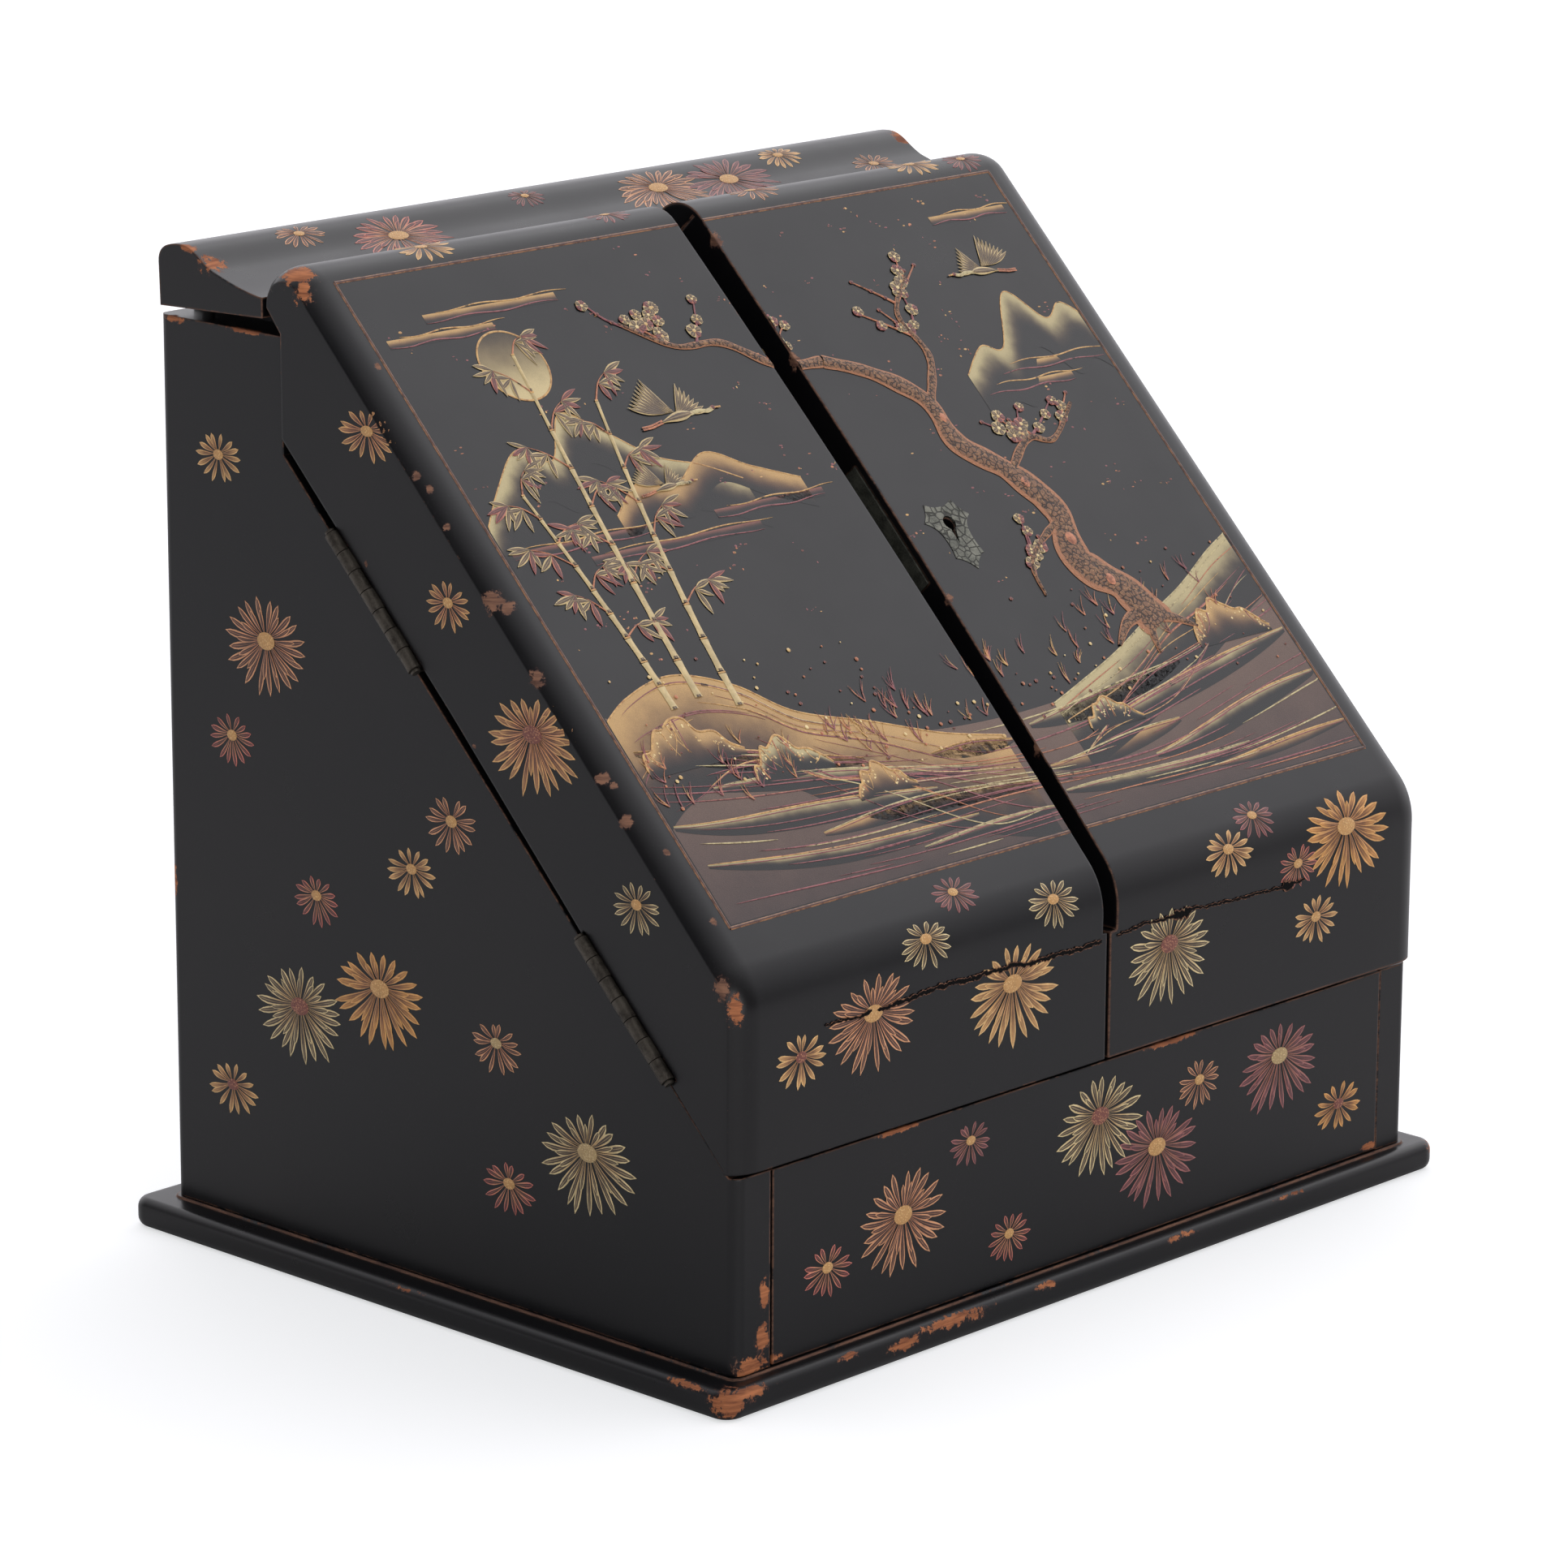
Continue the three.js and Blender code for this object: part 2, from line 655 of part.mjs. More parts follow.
// The slope boards' side of the meeting line, and the aprons' side, as solids
function slopeBoardReach(side) {
  const stations = Array.from({ length: curveFacets + 1 }, (_, index) => index / curveFacets);
  const from = -slopeCornerRadius * 2;
  const to = rollTangent + rollRadius * 3;
  const rises = stations.map((station) => from + (to - from) * station);
  const edge = rises.map((rise) => [meetingEdge(side, rise), rise]);
  const outline = polygon([...edge, [side * farSide, to], [side * farSide, from]]);
  const depth = (slopeThickness + railDepth) * 2;
  const profile = new THREE.ExtrudeGeometry(outline, { depth, bevelEnabled: false });
  profile.translate(0, 0, -depth / 2);
  return placed(profile, slopeFrame);
}
function apronReach(side) {
  const edge = meetingLine + (side * apronGap) / 2;
  return block([edge, -doorFront - overrun, doorFoot - overrun], [side * farSide, overrun, slopeFoot]);
}

// One door as its four boards
function doorBoards(side) {
  const arrisRound = arrisWidth + arrisPlaned;
  const arris = {
    bevelEnabled: true,
    bevelThickness: arrisRound,
    bevelSize: arrisDrop,
    bevelOffset: -arrisDrop,
    bevelSegments: arrisFacets,
  };
  const inward = -side * farSide;
  const envelope = across(doorOutline(), inward, side * (halfDoors - arrisWidth), arris);
  const region = across(doorRegion(), inward, side * halfDoors);
  const hollow = across(doorHollow(), inward, side * (halfDoors - cheekThickness));
  const shell = cut(common(envelope, region), hollow);
  const mitre = {
    bevelEnabled: true,
    bevelThickness: cheekThickness,
    bevelSize: slopeThickness,
    bevelOffset: -slopeThickness,
    bevelSegments: 1,
  };
  const outer = side * (halfDoors + overrun);
  const cheekReach = across(mitreOutline(), side * halfDoors, outer, mitre);
  const inset = side * glueLine * Math.SQRT2;
  const mitreCut = across(mitreOutline(), side * halfDoors - inset, outer, mitre);
  const boards = cut(shell, mitreCut);
  const slopeReach = slopeBoardReach(side);
  const low = slopeBoardFoot * 3;
  const deep = railDepth * 3;
  const upToRail = slopeBlock([-farSide, low, -deep], [farSide, railJoint, overrun]);
  const overRail = slopeBlock([-farSide, railJoint + glueLine, -deep], [farSide, railJoint + deep, overrun]);
  const upper = common(boards, slopeReach);
  return {
    cheek: common(shell, cheekReach),
    slope: common(upper, upToRail, above(apronJoint)),
    rail: common(upper, overRail),
    apron: cut(common(boards, apronReach(side)), above(apronJoint - seatGap)),
  };
}

// Hinges

const tube = (radius, length, facets) => {
  const round = new THREE.CylinderGeometry(radius, radius, length, facets);
  round.rotateX(Math.PI / 2);
  return round;
};
function rod(radius, from, to, facets = barrelFacets) {
  const round = tube(radius, to - from, facets);
  round.translate(0, 0, (from + to) / 2);
  return toSolid(round);
}

// A hinge lies along its own z. Leaf 0 has the even knuckles and lies below the parting plane, leaf 1
// above it. reach is the signed distance from the pin to the far edge of the leaves.
function hingeLeaf(which, { length, knuckles, barrelRadius, pinRadius, thickness, gap, reach }) {
  const pitch = length / knuckles;
  const level = which ? [gap / 2, gap / 2 + thickness] : [-gap / 2 - thickness, -gap / 2];
  let leaf = block([0, level[0], -length / 2], [reach, level[1], length / 2]);
  for (let index = 0; index < knuckles; index += 1) {
    const from = -length / 2 + index * pitch;
    const own = index % 2 === which;
    const to = from + pitch;
    if (own) leaf = join(leaf, rod(barrelRadius, from + knuckleGap / 2, to - knuckleGap / 2));
    else leaf = cut(leaf, rod(barrelRadius + knuckleGap, from - knuckleGap / 2, to + knuckleGap / 2));
  }
  return cut(leaf, rod(pinRadius + pinClearance, -length, length));
}

function hingePin({ length, barrelRadius, pinRadius }) {
  const half = length / 2;
  const head = (pinRadius + barrelRadius) / 2;
  const shank = rod(pinRadius, -half - knuckleGap, half + knuckleGap);
  const heads = [-1, 1].map((end) => {
    const near = end * (half + knuckleGap);
    const far = end * (half + knuckleGap + pinHeadLength);
    return rod(head, Math.min(near, far), Math.max(near, far));
  });
  return join(shank, ...heads);
}

const doorHinge = (side) => ({
  length: hingeLength,
  knuckles: doorKnuckles,
  barrelRadius: doorBarrelRadius,
  pinRadius: doorPinRadius,
  thickness: doorLeafThickness,
  gap: (doorBarrelRadius - doorLeafThickness) * 2,
  reach: -side * doorLeafWidth,
});

// Hinge frame: x across, y towards the door, z down the seam
function doorHingeFrame(side, drop) {
  const frame = new THREE.Group();
  const depth = kneeDepth + drop * seamCosine + pinShift * seamSine;
  const height = kneeHeight - drop * seamSine + pinShift * seamCosine;
  frame.position.set(side * (halfDoors + doorPinProud), -depth, height);
  frame.rotation.x = Math.PI - seamAngle;
  frame.updateMatrix();
  return frame;
}

// Room that a door hinge needs in the cheek and in the side board
function doorHingeRoom(side, frame) {
  const half = hingeLength / 2 + knuckleGap + pinHeadLength + glueLine;
  const barrel = tube(doorBarrelRadius + knuckleGap, half * 2, barrelFacets);
  const depth = doorBarrelRadius + glueLine;
  const reach = -side * (doorLeafWidth + glueLine);
  const leaves = blockGeometry([0, -depth, -half], [reach, depth, half]);
  return join(placed(barrel, frame), placed(leaves, frame));
}

const lidHinge = {
  length: lidHingeLength,
  knuckles: lidKnuckles,
  barrelRadius: lidBarrelRadius,
  pinRadius: lidPinRadius,
  thickness: lidLeafThickness,
  gap: lidBackGap - lidLeafThickness * 2 - glueLine * 2,
  reach: lidLeafWidth,
};

// Hinge frame: x forward, y up, z across
function lidHingeFrame(side) {
  const frame = new THREE.Group();
  frame.position.set(side * (halfCase - lidHingeInset), -lidPinInset, caseTop + lidBackGap / 2);
  frame.rotation.set(Math.PI / 2, 0, -Math.PI / 2, "ZXY");
  frame.updateMatrix();
  return frame;
}

// Top flap

function lid() {
  const back = lidBackInset;
  const ridgeDepth = back + lidRidgeInset;
  const ridge = lidFoot + lidRidgeHeight;
  const run = lidFront - ridgeDepth;
  const frontFoot = lidUndersideAt(lidFront);
  const drop = ridge - frontFoot - lidFrontThickness;
  // Shares of the run and drop from the ridge to the front edge: a round shoulder, then a long cove
  const ogeeShares = [
    [0.17, 0], [0.23, 0.34], [0.4, 0.56],
    [0.61, 0.77], [0.82, 0.955], [1, 1],
  ];
  const ogee = ogeeShares.map(([runShare, dropShare]) => [
    ridgeDepth + runShare * run,
    ridge - dropShare * drop,
  ]);
  const shape = new THREE.Shape();
  shape.moveTo(back + lidBackLean, lidFoot);
  shape.lineTo(lidFront, frontFoot);
  shape.lineTo(...ogee[5]);
  shape.bezierCurveTo(...ogee[4], ...ogee[3], ...ogee[2]);
  shape.bezierCurveTo(...ogee[1], ...ogee[0], ridgeDepth, ridge);
  shape.quadraticCurveTo(back, ridge, back, lidFoot + lidBackHeight);
  shape.closePath();
  const half = halfCase + lidSideProud;
  return across(shape, -half, half);
}

// Lock

const lockEdge = meetingEdge(1, lockRise);
const lockTop = -slopeThickness + lockDepth;
const keyholeX = lockEdge + keyholeInset;
const keyholeY = lockRise - keyholeDrop;
const boltFoot = keyholeY + keyholeRadius + boltKeyGap;
const boltThrow = lockEdge - meetingEdge(-1, lockRise) + selvedgeProud + boltEngagement;
const boltCentre = (lockTop - slopeThickness) / 2;

function keyholeOutline(grow = 0) {
  const radius = keyholeRadius + grow;
  const half = keyholeSlotWidth / 2 + grow;
  const start = Math.asin(half / radius);
  const foot = keyholeY - keyholeSlotLength - grow;
  const shape = new THREE.Shape();
  shape.moveTo(keyholeX + half, foot);
  shape.absarc(keyholeX, keyholeY, radius, start - Math.PI / 2, Math.PI * 1.5 - start);
  shape.lineTo(keyholeX - half, foot);
  shape.closePath();
  return shape;
}

// Solids drawn in the slope frame stay in it, and are placed only where they cut a board
function slopePrism(shape, from, to) {
  const profile = new THREE.ExtrudeGeometry(shape, {
    depth: to - from,
    bevelEnabled: false,
    curveSegments: curveFacets,
  });
  profile.translate(0, 0, from);
  return profile;
}

// A strip along a door's meeting edge, between two distances in from the edge
function edgeStrip(side, from, to, grow = 0) {
  const low = lockRise - lockHeight / 2 - grow;
  const high = lockRise + lockHeight / 2 + grow;
  return polygon([
    [meetingEdge(side, low) + side * from, low],
    [meetingEdge(side, high) + side * from, high],
    [meetingEdge(side, high) + side * to, high],
    [meetingEdge(side, low) + side * to, low],
  ]);
}

const lockSpan = lockHeight / 2 - lockWall * 3;
const lockBox = (grow, foot, top) =>
  blockGeometry(
    [lockEdge - grow, lockRise - lockSpan - grow, foot],
    [lockEdge + lockWidth + grow, lockRise + lockSpan + grow, top],
  );

// Lock case: an edge plate and a tray of thin metal, closed behind by the cap
function lockCase() {
  const capTop = -slopeThickness + lockWall;
  const body = toSolid(lockBox(0, capTop + glueLine, lockTop));
  const hollowTop = lockTop - lockWall;
  const room = toSolid(lockBox(-lockWall, -slopeThickness - overrun, hollowTop));
  const strip = edgeStrip(1, -selvedgeProud, selvedgeThickness - selvedgeProud);
  const plate = slopePrism(strip, -selvedgeSink - selvedgeWidth, -selvedgeSink);
  const boltHole = toSolid(boltGeometry(boltClearance / 2, overrun));
  const keyhole = toSolid(slopePrism(keyholeOutline(), -slopeThickness * 2, overrun));
  return cut(join(cut(body, room), toSolid(plate)), boltHole, keyhole);
}

function lockCap() {
  const cap = toSolid(lockBox(0, -slopeThickness, -slopeThickness + lockWall));
  const post = tube(drillPinRadius, lockTop - lockWall * 2 + slopeThickness, barrelFacets);
  post.translate(keyholeX, keyholeY, (lockTop - lockWall * 2 - slopeThickness) / 2);
  return join(cap, toSolid(post));
}

function boltGeometry(grow, extra) {
  const half = boltThickness / 2 + grow;
  const tip = lockEdge - selvedgeProud;
  return blockGeometry(
    [tip - extra, boltFoot - grow, boltCentre - half],
    [tip + boltLength, boltFoot + boltHeight + grow, boltCentre + half],
  );
}

// The bolt, with the talon that the key turns in
function lockBolt() {
  const bolt = toSolid(boltGeometry(0, 0));
  const talon = tube(talonRadius, boltThickness * 2, barrelFacets);
  talon.translate(keyholeX, boltFoot, boltCentre);
  return cut(bolt, toSolid(talon));
}

function strikePlate() {
  const plate = slopePrism(edgeStrip(-1, 0, strikeThickness), -selvedgeSink - selvedgeWidth, -selvedgeSink);
  return cut(toSolid(plate), toSolid(boltGeometry(boltClearance, boltThrow + overrun)));
}

// Keyhole plate: a shield with cusps, wide shoulders, a waist and a pointed foot
function escutcheonOutline(grow = 0) {
  const half = escutcheonWidth / 2 + grow;
  const height = escutcheonHeight + grow * 2;
  const top = keyholeY + escutcheonHeadroom + grow;
  const dipShare = 0.07;
  // Shares of the half width and of the height below the top, one side, with the control point of each curve
  const curveShares = [
    [0.3, 0.08, 0.59, 0], [0.7, 0.16, 1, 0.25],
    [0.64, 0.32, 0.57, 0.47], [0.5, 0.64, 0.62, 0.8],
    [0.26, 0.84, 0, 1],
  ];
  const at = (x, y) => [keyholeX + x * half, top - y * height];
  const shape = new THREE.Shape();
  shape.moveTo(...at(0, dipShare));
  curveShares.forEach(([cx, cy, x, y]) => shape.quadraticCurveTo(...at(cx, cy), ...at(x, y)));
  const back = [...curveShares].reverse();
  back.forEach(([cx, cy], index) => {
    const next = back[index + 1];
    const end = next ? [-next[2], next[3]] : [0, dipShare];
    shape.quadraticCurveTo(...at(-cx, cy), ...at(...end));
  });
  return shape;
}

function escutcheon() {
  const sunk = escutcheonProud - escutcheonThickness;
  const plate = toSolid(slopePrism(escutcheonOutline(), sunk, escutcheonProud));
  return cut(plate, toSolid(slopePrism(keyholeOutline(), -overrun, overrun)));
}

// Recess for a plate of some thickness along a door's meeting edge
function edgeRecess(side, thickness) {
  const strip = edgeStrip(side, -overrun, thickness + glueLine, glueLine);
  return slopePrism(strip, -selvedgeSink - selvedgeWidth - glueLine, glueLine - selvedgeSink);
}

// Cuts that the lock makes in the right slope board, and the strike in the left one
function lockCuts() {
  const foot = -slopeThickness - overrun;
  const recess = escutcheonProud - escutcheonThickness - glueLine;
  const cutters = [
    lockBox(glueLine, foot, lockTop + glueLine),
    edgeRecess(1, selvedgeThickness - selvedgeProud),
    slopePrism(keyholeOutline(), foot, overrun),
    slopePrism(escutcheonOutline(glueLine), recess, overrun),
  ];
  return cutters.map((cutter) => placed(cutter, slopeFrame));
}
function strikeCuts() {
  const mortise = boltGeometry(boltClearance, boltThrow + boltEngagement);
  return [edgeRecess(-1, strikeThickness), mortise].map((cutter) => placed(cutter, slopeFrame));
}

// Assembly

addPiece(chest, "plinth", plinth(), lacquer);
addPiece(chest, "back_panel", backPanel(), lacquer);
for (const [place, strip] of Object.entries(restStrips())) {
  addPiece(chest, `flap_rest_${place}`, strip, lacquer);
}
addPiece(chest, "desk_board", deskBoard(), innerLacquer);
addPiece(chest, "upper_rail", upperRail(), innerLacquer);
addPiece(chest, "pen_tray", penTray(), innerLacquer);
dividerFronts.forEach((front, index) => {
  addPiece(chest, `letter_divider_${index + 1}`, divider(front), innerLacquer);
});

for (const [side, word] of [[-1, "left"], [1, "right"]]) {
  const hinges = { upper: upperHingeDrop, lower: seamLength - lowerHingeRise };
  const frames = Object.entries(hinges).map(([place, drop]) => [place, doorHingeFrame(side, drop)]);
  const rooms = frames.map(([, frame]) => doorHingeRoom(side, frame));
  addPiece(chest, `${word}_side_panel`, cut(sidePanel(side), ...rooms), lacquer);
  addPiece(chest, `${word}_rack_end`, rackEnd(side), innerLacquer);
  addPiece(chest, `${word}_drawer_runner`, drawerRunner(side), bareWood);

  const boards = doorBoards(side);
  const lockWork = side > 0 ? lockCuts() : strikeCuts();
  addPiece(chest, `${word}_door_cheek`, cut(boards.cheek, ...rooms), lacquer);
  addPiece(chest, `${word}_door_slope_panel`, cut(boards.slope, ...lockWork), lacquer);
  addPiece(chest, `${word}_door_apron`, boards.apron, lacquer);
  addPiece(chest, `${word}_door_top_rail`, boards.rail, lacquer);

  for (const [place, frame] of frames) {
    const name = `${word}_door_${place}_hinge`;
    chest.add(frame);
    addPiece(frame, `${name}_case_leaf`, hingeLeaf(0, doorHinge(side)), brassPatina);
    addPiece(frame, `${name}_door_leaf`, hingeLeaf(1, doorHinge(side)), brassPatina);
    addPiece(frame, `${name}_pin`, hingePin(doorHinge(side)), brassPatina);
  }

  const lidFrame = lidHingeFrame(side);
  chest.add(lidFrame);
  addPiece(lidFrame, `lid_${word}_hinge_case_leaf`, hingeLeaf(0, lidHinge), brassPatina);
  addPiece(lidFrame, `lid_${word}_hinge_lid_leaf`, hingeLeaf(1, lidHinge), brassPatina);
  addPiece(lidFrame, `lid_${word}_hinge_pin`, hingePin(lidHinge), brassPatina);
}

addPiece(chest, "lid", lid(), lacquer);

const drawer = new THREE.Group();
drawer.position.set(drawerShift, 0, 0);
chest.add(drawer);
addPiece(drawer, "drawer_front", drawerFront(), lacquer);
addPiece(drawer, "drawer_left_side", drawerSide(-1), innerLacquer);
addPiece(drawer, "drawer_right_side", drawerSide(1), innerLacquer);
addPiece(drawer, "drawer_back", drawerBack(), innerLacquer);
addPiece(drawer, "drawer_bottom", drawerBottom(), innerLacquer);

addPiece(slopeFrame, "lock_case", lockCase(), engravedMetal);
addPiece(slopeFrame, "lock_cap", lockCap(), engravedMetal);
addPiece(slopeFrame, "lock_bolt", lockBolt(), engravedMetal);
addPiece(slopeFrame, "escutcheon", escutcheon(), engravedMetal);
addPiece(slopeFrame, "strike_plate", strikePlate(), engravedMetal);

export default new THREE.Group().add(chest);
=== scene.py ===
# Lacquer stationery chest: finishes, ornament, picture, wear, studio and camera.
# Metres, +Z up, front towards -Y, the origin under the middle of the plinth.
import functools
import json
import math
import random
import bpy
from mathutils import Matrix, Vector


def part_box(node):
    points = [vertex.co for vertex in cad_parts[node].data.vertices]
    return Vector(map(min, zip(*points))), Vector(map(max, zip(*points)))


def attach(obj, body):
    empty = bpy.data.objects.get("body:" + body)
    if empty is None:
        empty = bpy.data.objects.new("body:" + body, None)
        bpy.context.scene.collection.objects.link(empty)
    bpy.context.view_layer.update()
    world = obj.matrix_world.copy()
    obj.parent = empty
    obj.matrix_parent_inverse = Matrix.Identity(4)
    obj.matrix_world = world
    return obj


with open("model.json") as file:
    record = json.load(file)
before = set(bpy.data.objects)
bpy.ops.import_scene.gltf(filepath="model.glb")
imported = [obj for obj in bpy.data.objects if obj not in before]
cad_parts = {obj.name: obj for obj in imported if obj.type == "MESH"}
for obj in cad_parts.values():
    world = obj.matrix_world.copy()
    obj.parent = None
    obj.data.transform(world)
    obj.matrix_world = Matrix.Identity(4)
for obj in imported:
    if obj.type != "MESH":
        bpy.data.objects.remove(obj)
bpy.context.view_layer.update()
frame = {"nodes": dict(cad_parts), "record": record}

nodes = frame["nodes"]
MM = 0.001


# Camera at the photograph's viewing angle
def make_camera():
    azimuth = math.radians(-46.7693)
    elevation = math.radians(14.6444)
    roll = math.radians(0.27216)
    focal_px = 7786.95
    image_width_px = 1932.0
    sensor = 36.0
    distance = 2.10152
    target = Vector((0.0, 0.01625, 0.15))
    offset_right = 0.00783613
    offset_up = -0.00727441
    back = Vector((
        math.sin(azimuth) * math.cos(elevation),
        -math.cos(azimuth) * math.cos(elevation),
        math.sin(elevation),
    ))
    level = (-back).cross(Vector((0.0, 0.0, 1.0))).normalized()
    rise = level.cross(-back)
    right = math.cos(roll) * level + math.sin(roll) * rise
    up = -math.sin(roll) * level + math.cos(roll) * rise
    place = target + back * distance + right * offset_right + up * offset_up
    lens = bpy.data.cameras.new("photo_camera")
    lens.sensor_fit = "HORIZONTAL"
    lens.sensor_width = sensor
    lens.lens = focal_px * sensor / image_width_px
    lens.clip_start = 0.05
    lens.clip_end = 60.0
    camera = bpy.data.objects.new("photo_camera", lens)
    bpy.context.scene.collection.objects.link(camera)
    camera.matrix_world = Matrix((
        (right.x, up.x, back.x, place.x),
        (right.y, up.y, back.y, place.y),
        (right.z, up.z, back.z, place.z),
        (0.0, 0.0, 0.0, 1.0),
    ))
    bpy.context.scene.camera = camera


make_camera()


# Shader graphs
class Graph:
    """A node tree, where an input is a socket, a number, a vector or a colour."""

    def __init__(self, tree):
        self.tree = tree
        tree.nodes.clear()

    def node(self, kind, inputs=None, **settings):
        made = self.tree.nodes.new(kind)
        for key, value in settings.items():
            setattr(made, key, value)
        for key, value in (inputs or {}).items():
            socket = made.inputs[key]
            if isinstance(value, bpy.types.NodeSocket):
                self.tree.links.new(value, socket)
            elif socket.type == "RGBA":
                socket.default_value = (*value, 1.0)
            else:
                socket.default_value = value
        return made

    def math(self, operation, first, second=0.0, third=0.0, clamp=False):
        inputs = {0: first, 1: second, 2: third}
        return self.node("ShaderNodeMath", inputs, operation=operation, use_clamp=clamp).outputs[0]

    def times(self, value, factor, plus=0.0):
        return self.math("MULTIPLY_ADD", value, factor, plus)

    def less(self, first, second):
        return self.math("SUBTRACT", first, second)

    def most(self, first, second):
        return self.math("MAXIMUM", first, second)

    def vector(self, operation, first, second=(0.0, 0.0, 0.0)):
        made = self.node("ShaderNodeVectorMath", {0: first, 1: second}, operation=operation)
        return made.outputs["Value" if operation in ("LENGTH", "DOT_PRODUCT") else "Vector"]

    def step(self, value, low, high, to_low=0.0, to_high=1.0):
        inputs = {"Value": value, 1: low, 2: high, 3: to_low, 4: to_high}
        return self.node("ShaderNodeMapRange", inputs, interpolation_type="SMOOTHSTEP").outputs[0]

    def blend(self, share, first, second):
        """Two colours mixed."""
        inputs = {"Factor": share, 6: first, 7: second}
        return self.node("ShaderNodeMix", inputs, data_type="RGBA").outputs[2]

    def mix(self, share, first, second):
        """Two numbers mixed."""
        inputs = {"Factor": share, 2: first, 3: second}
        return self.node("ShaderNodeMix", inputs, data_type="FLOAT").outputs[0]


class Paint(Graph):
    """A material. Its noise and cells lie in the object's own places; strip() is for painted strokes."""

    def __init__(self, name):
        self.material = bpy.data.materials.new(name)
        self.material.use_nodes = True
        super().__init__(self.material.node_tree)
        spots = self.node("ShaderNodeTexCoord").outputs
        self.place = spots["Object"]
        self.uv = spots["UV"]

    def noise(self, scale, detail, roughness):
        """scale is one number, or three for a figure drawn out along an axis."""
        place = self.place
        if isinstance(scale, tuple):
            place = self.vector("MULTIPLY", place, scale)
            scale = 1.0
        inputs = {"Vector": place, "Scale": scale, "Detail": detail, "Roughness": roughness}
        return self.node("ShaderNodeTexNoise", inputs).outputs["Fac"]

    def cells(self, scale, feature="F1"):
        inputs = {"Vector": self.place, "Scale": scale}
        return self.node("ShaderNodeTexVoronoi", inputs, feature=feature).outputs["Distance"]

    def strip(self):
        """0 on the middle line of a stroke to 1 at its rims, and the place along it."""
        parts = self.node("ShaderNodeSeparateXYZ", {0: self.uv}).outputs
        return self.math("ABSOLUTE", self.times(parts[0], 2.0, -1.0)), parts[1]

    def surface(self, shader):
        self.node("ShaderNodeOutputMaterial", {"Surface": shader.outputs[0]})
        return self.material

    def finish(self, colour, roughness, height=None, strength=0.4, depth=0.3, under=None, **more):
        """The finished material; its relief is a bump, depth in mm, over the shading of the form under it."""
        inputs = {"Base Color": colour, "Roughness": roughness, **more}
        if height is not None:
            relief = {"Strength": strength, "Distance": depth * MM, "Height": height}
            if under is not None:
                relief["Normal"] = under
            inputs["Normal"] = self.node("ShaderNodeBump", relief).outputs[0]
        return self.surface(self.node("ShaderNodeBsdfPrincipled", inputs))


def srgb(red, green, blue):
    """Display values from 0 to 255 as linear colour."""
    linear = []
    for value in (red, green, blue):
        share = value / 255.0
        linear.append(share / 12.92 if share <= 0.04045 else ((share + 0.055) / 1.055) ** 2.4)
    return tuple(linear)


LACQUER_IOR = 1.42
LACQUER_BLACK = (0.006, 0.0058, 0.0066)
WIDE_CHIP = 3.9


# Lacquer with a fine haze, worn edges and chips down to the wood.
# A chip is a centre and three radii in millimetres; a wide one shows warmer wood.
def lacquer(name, chips=(), tone=1.0, edge_wear=0.5, edge_radius=1.1, roughness=0.3):
    graph = Paint(name)
    broad = graph.noise(9.0, 3.0, 0.6)
    cloud = graph.noise(38.0, 4.0, 0.62)
    grain = graph.noise(1400.0, 2.0, 0.6)
    chipping = graph.noise(330.0, 6.0, 0.75)

    bevel = graph.node("ShaderNodeBevel", {"Radius": edge_radius * MM}, samples=6).outputs[0]
    flat = graph.node("ShaderNodeNewGeometry").outputs["True Normal"]
    turn = graph.less(1.0, graph.vector("DOT_PRODUCT", bevel, flat))
    ragged = graph.times(chipping, 0.5, graph.times(cloud, 0.55))
    rubbed = graph.step(ragged, 0.72 - 0.35 * edge_wear, 0.78 - 0.3 * edge_wear)
    worn = graph.step(graph.times(turn, rubbed), 0.03, 0.1)
    ground = worn
    warm = 0.0
    for centre, radii in chips:
        offset = graph.vector("SUBTRACT", graph.place, [value * MM for value in centre])
        reach = graph.vector("LENGTH", graph.vector("DIVIDE", offset, [value * MM for value in radii]))
        field = graph.times(chipping, 3.8, graph.less(reach, 1.87))
        bare = graph.step(field, 1.0, 0.94)
        worn = graph.most(worn, bare)
        ground = graph.most(ground, graph.step(field, 1.26, 1.14))
        if max(radii) > WIDE_CHIP:
            warm = graph.most(warm, bare)

    black, brown, hazy = (
        tuple(value * tone for value in colour)
        for colour in ((0.0046, 0.0046, 0.0056), (0.009, 0.0072, 0.0074), (0.022, 0.0215, 0.024))
    )
    colour = graph.blend(graph.step(broad, 0.35, 0.7, 0.0, 0.5), black, brown)
    haze = graph.times(graph.step(grain, 0.55, 0.8), graph.step(cloud, 0.38, 0.72, 0.1, 0.6))
    colour = graph.blend(haze, colour, hazy)
    figure = graph.step(graph.noise((60.0, 60.0, 700.0), 4.0, 0.7), 0.3, 0.7)
    wood = graph.blend(figure, srgb(88, 60, 50), srgb(150, 108, 84))
    if warm:
        wood = graph.blend(warm, wood, graph.blend(figure, srgb(122, 70, 46), srgb(196, 124, 80)))
    colour = graph.blend(graph.times(ground, 0.85), colour, srgb(48, 32, 30))
    colour = graph.blend(worn, colour, wood)

    sheen = graph.times(haze, 0.12, graph.times(cloud, 0.16, roughness - 0.08))
    rough = graph.mix(worn, sheen, 0.75)
    relief = graph.times(worn, -0.35, graph.times(grain, 0.012, graph.times(cloud, 0.1)))
    return graph.finish(colour, rough, relief, 0.35, 0.6, bevel, IOR=LACQUER_IOR)


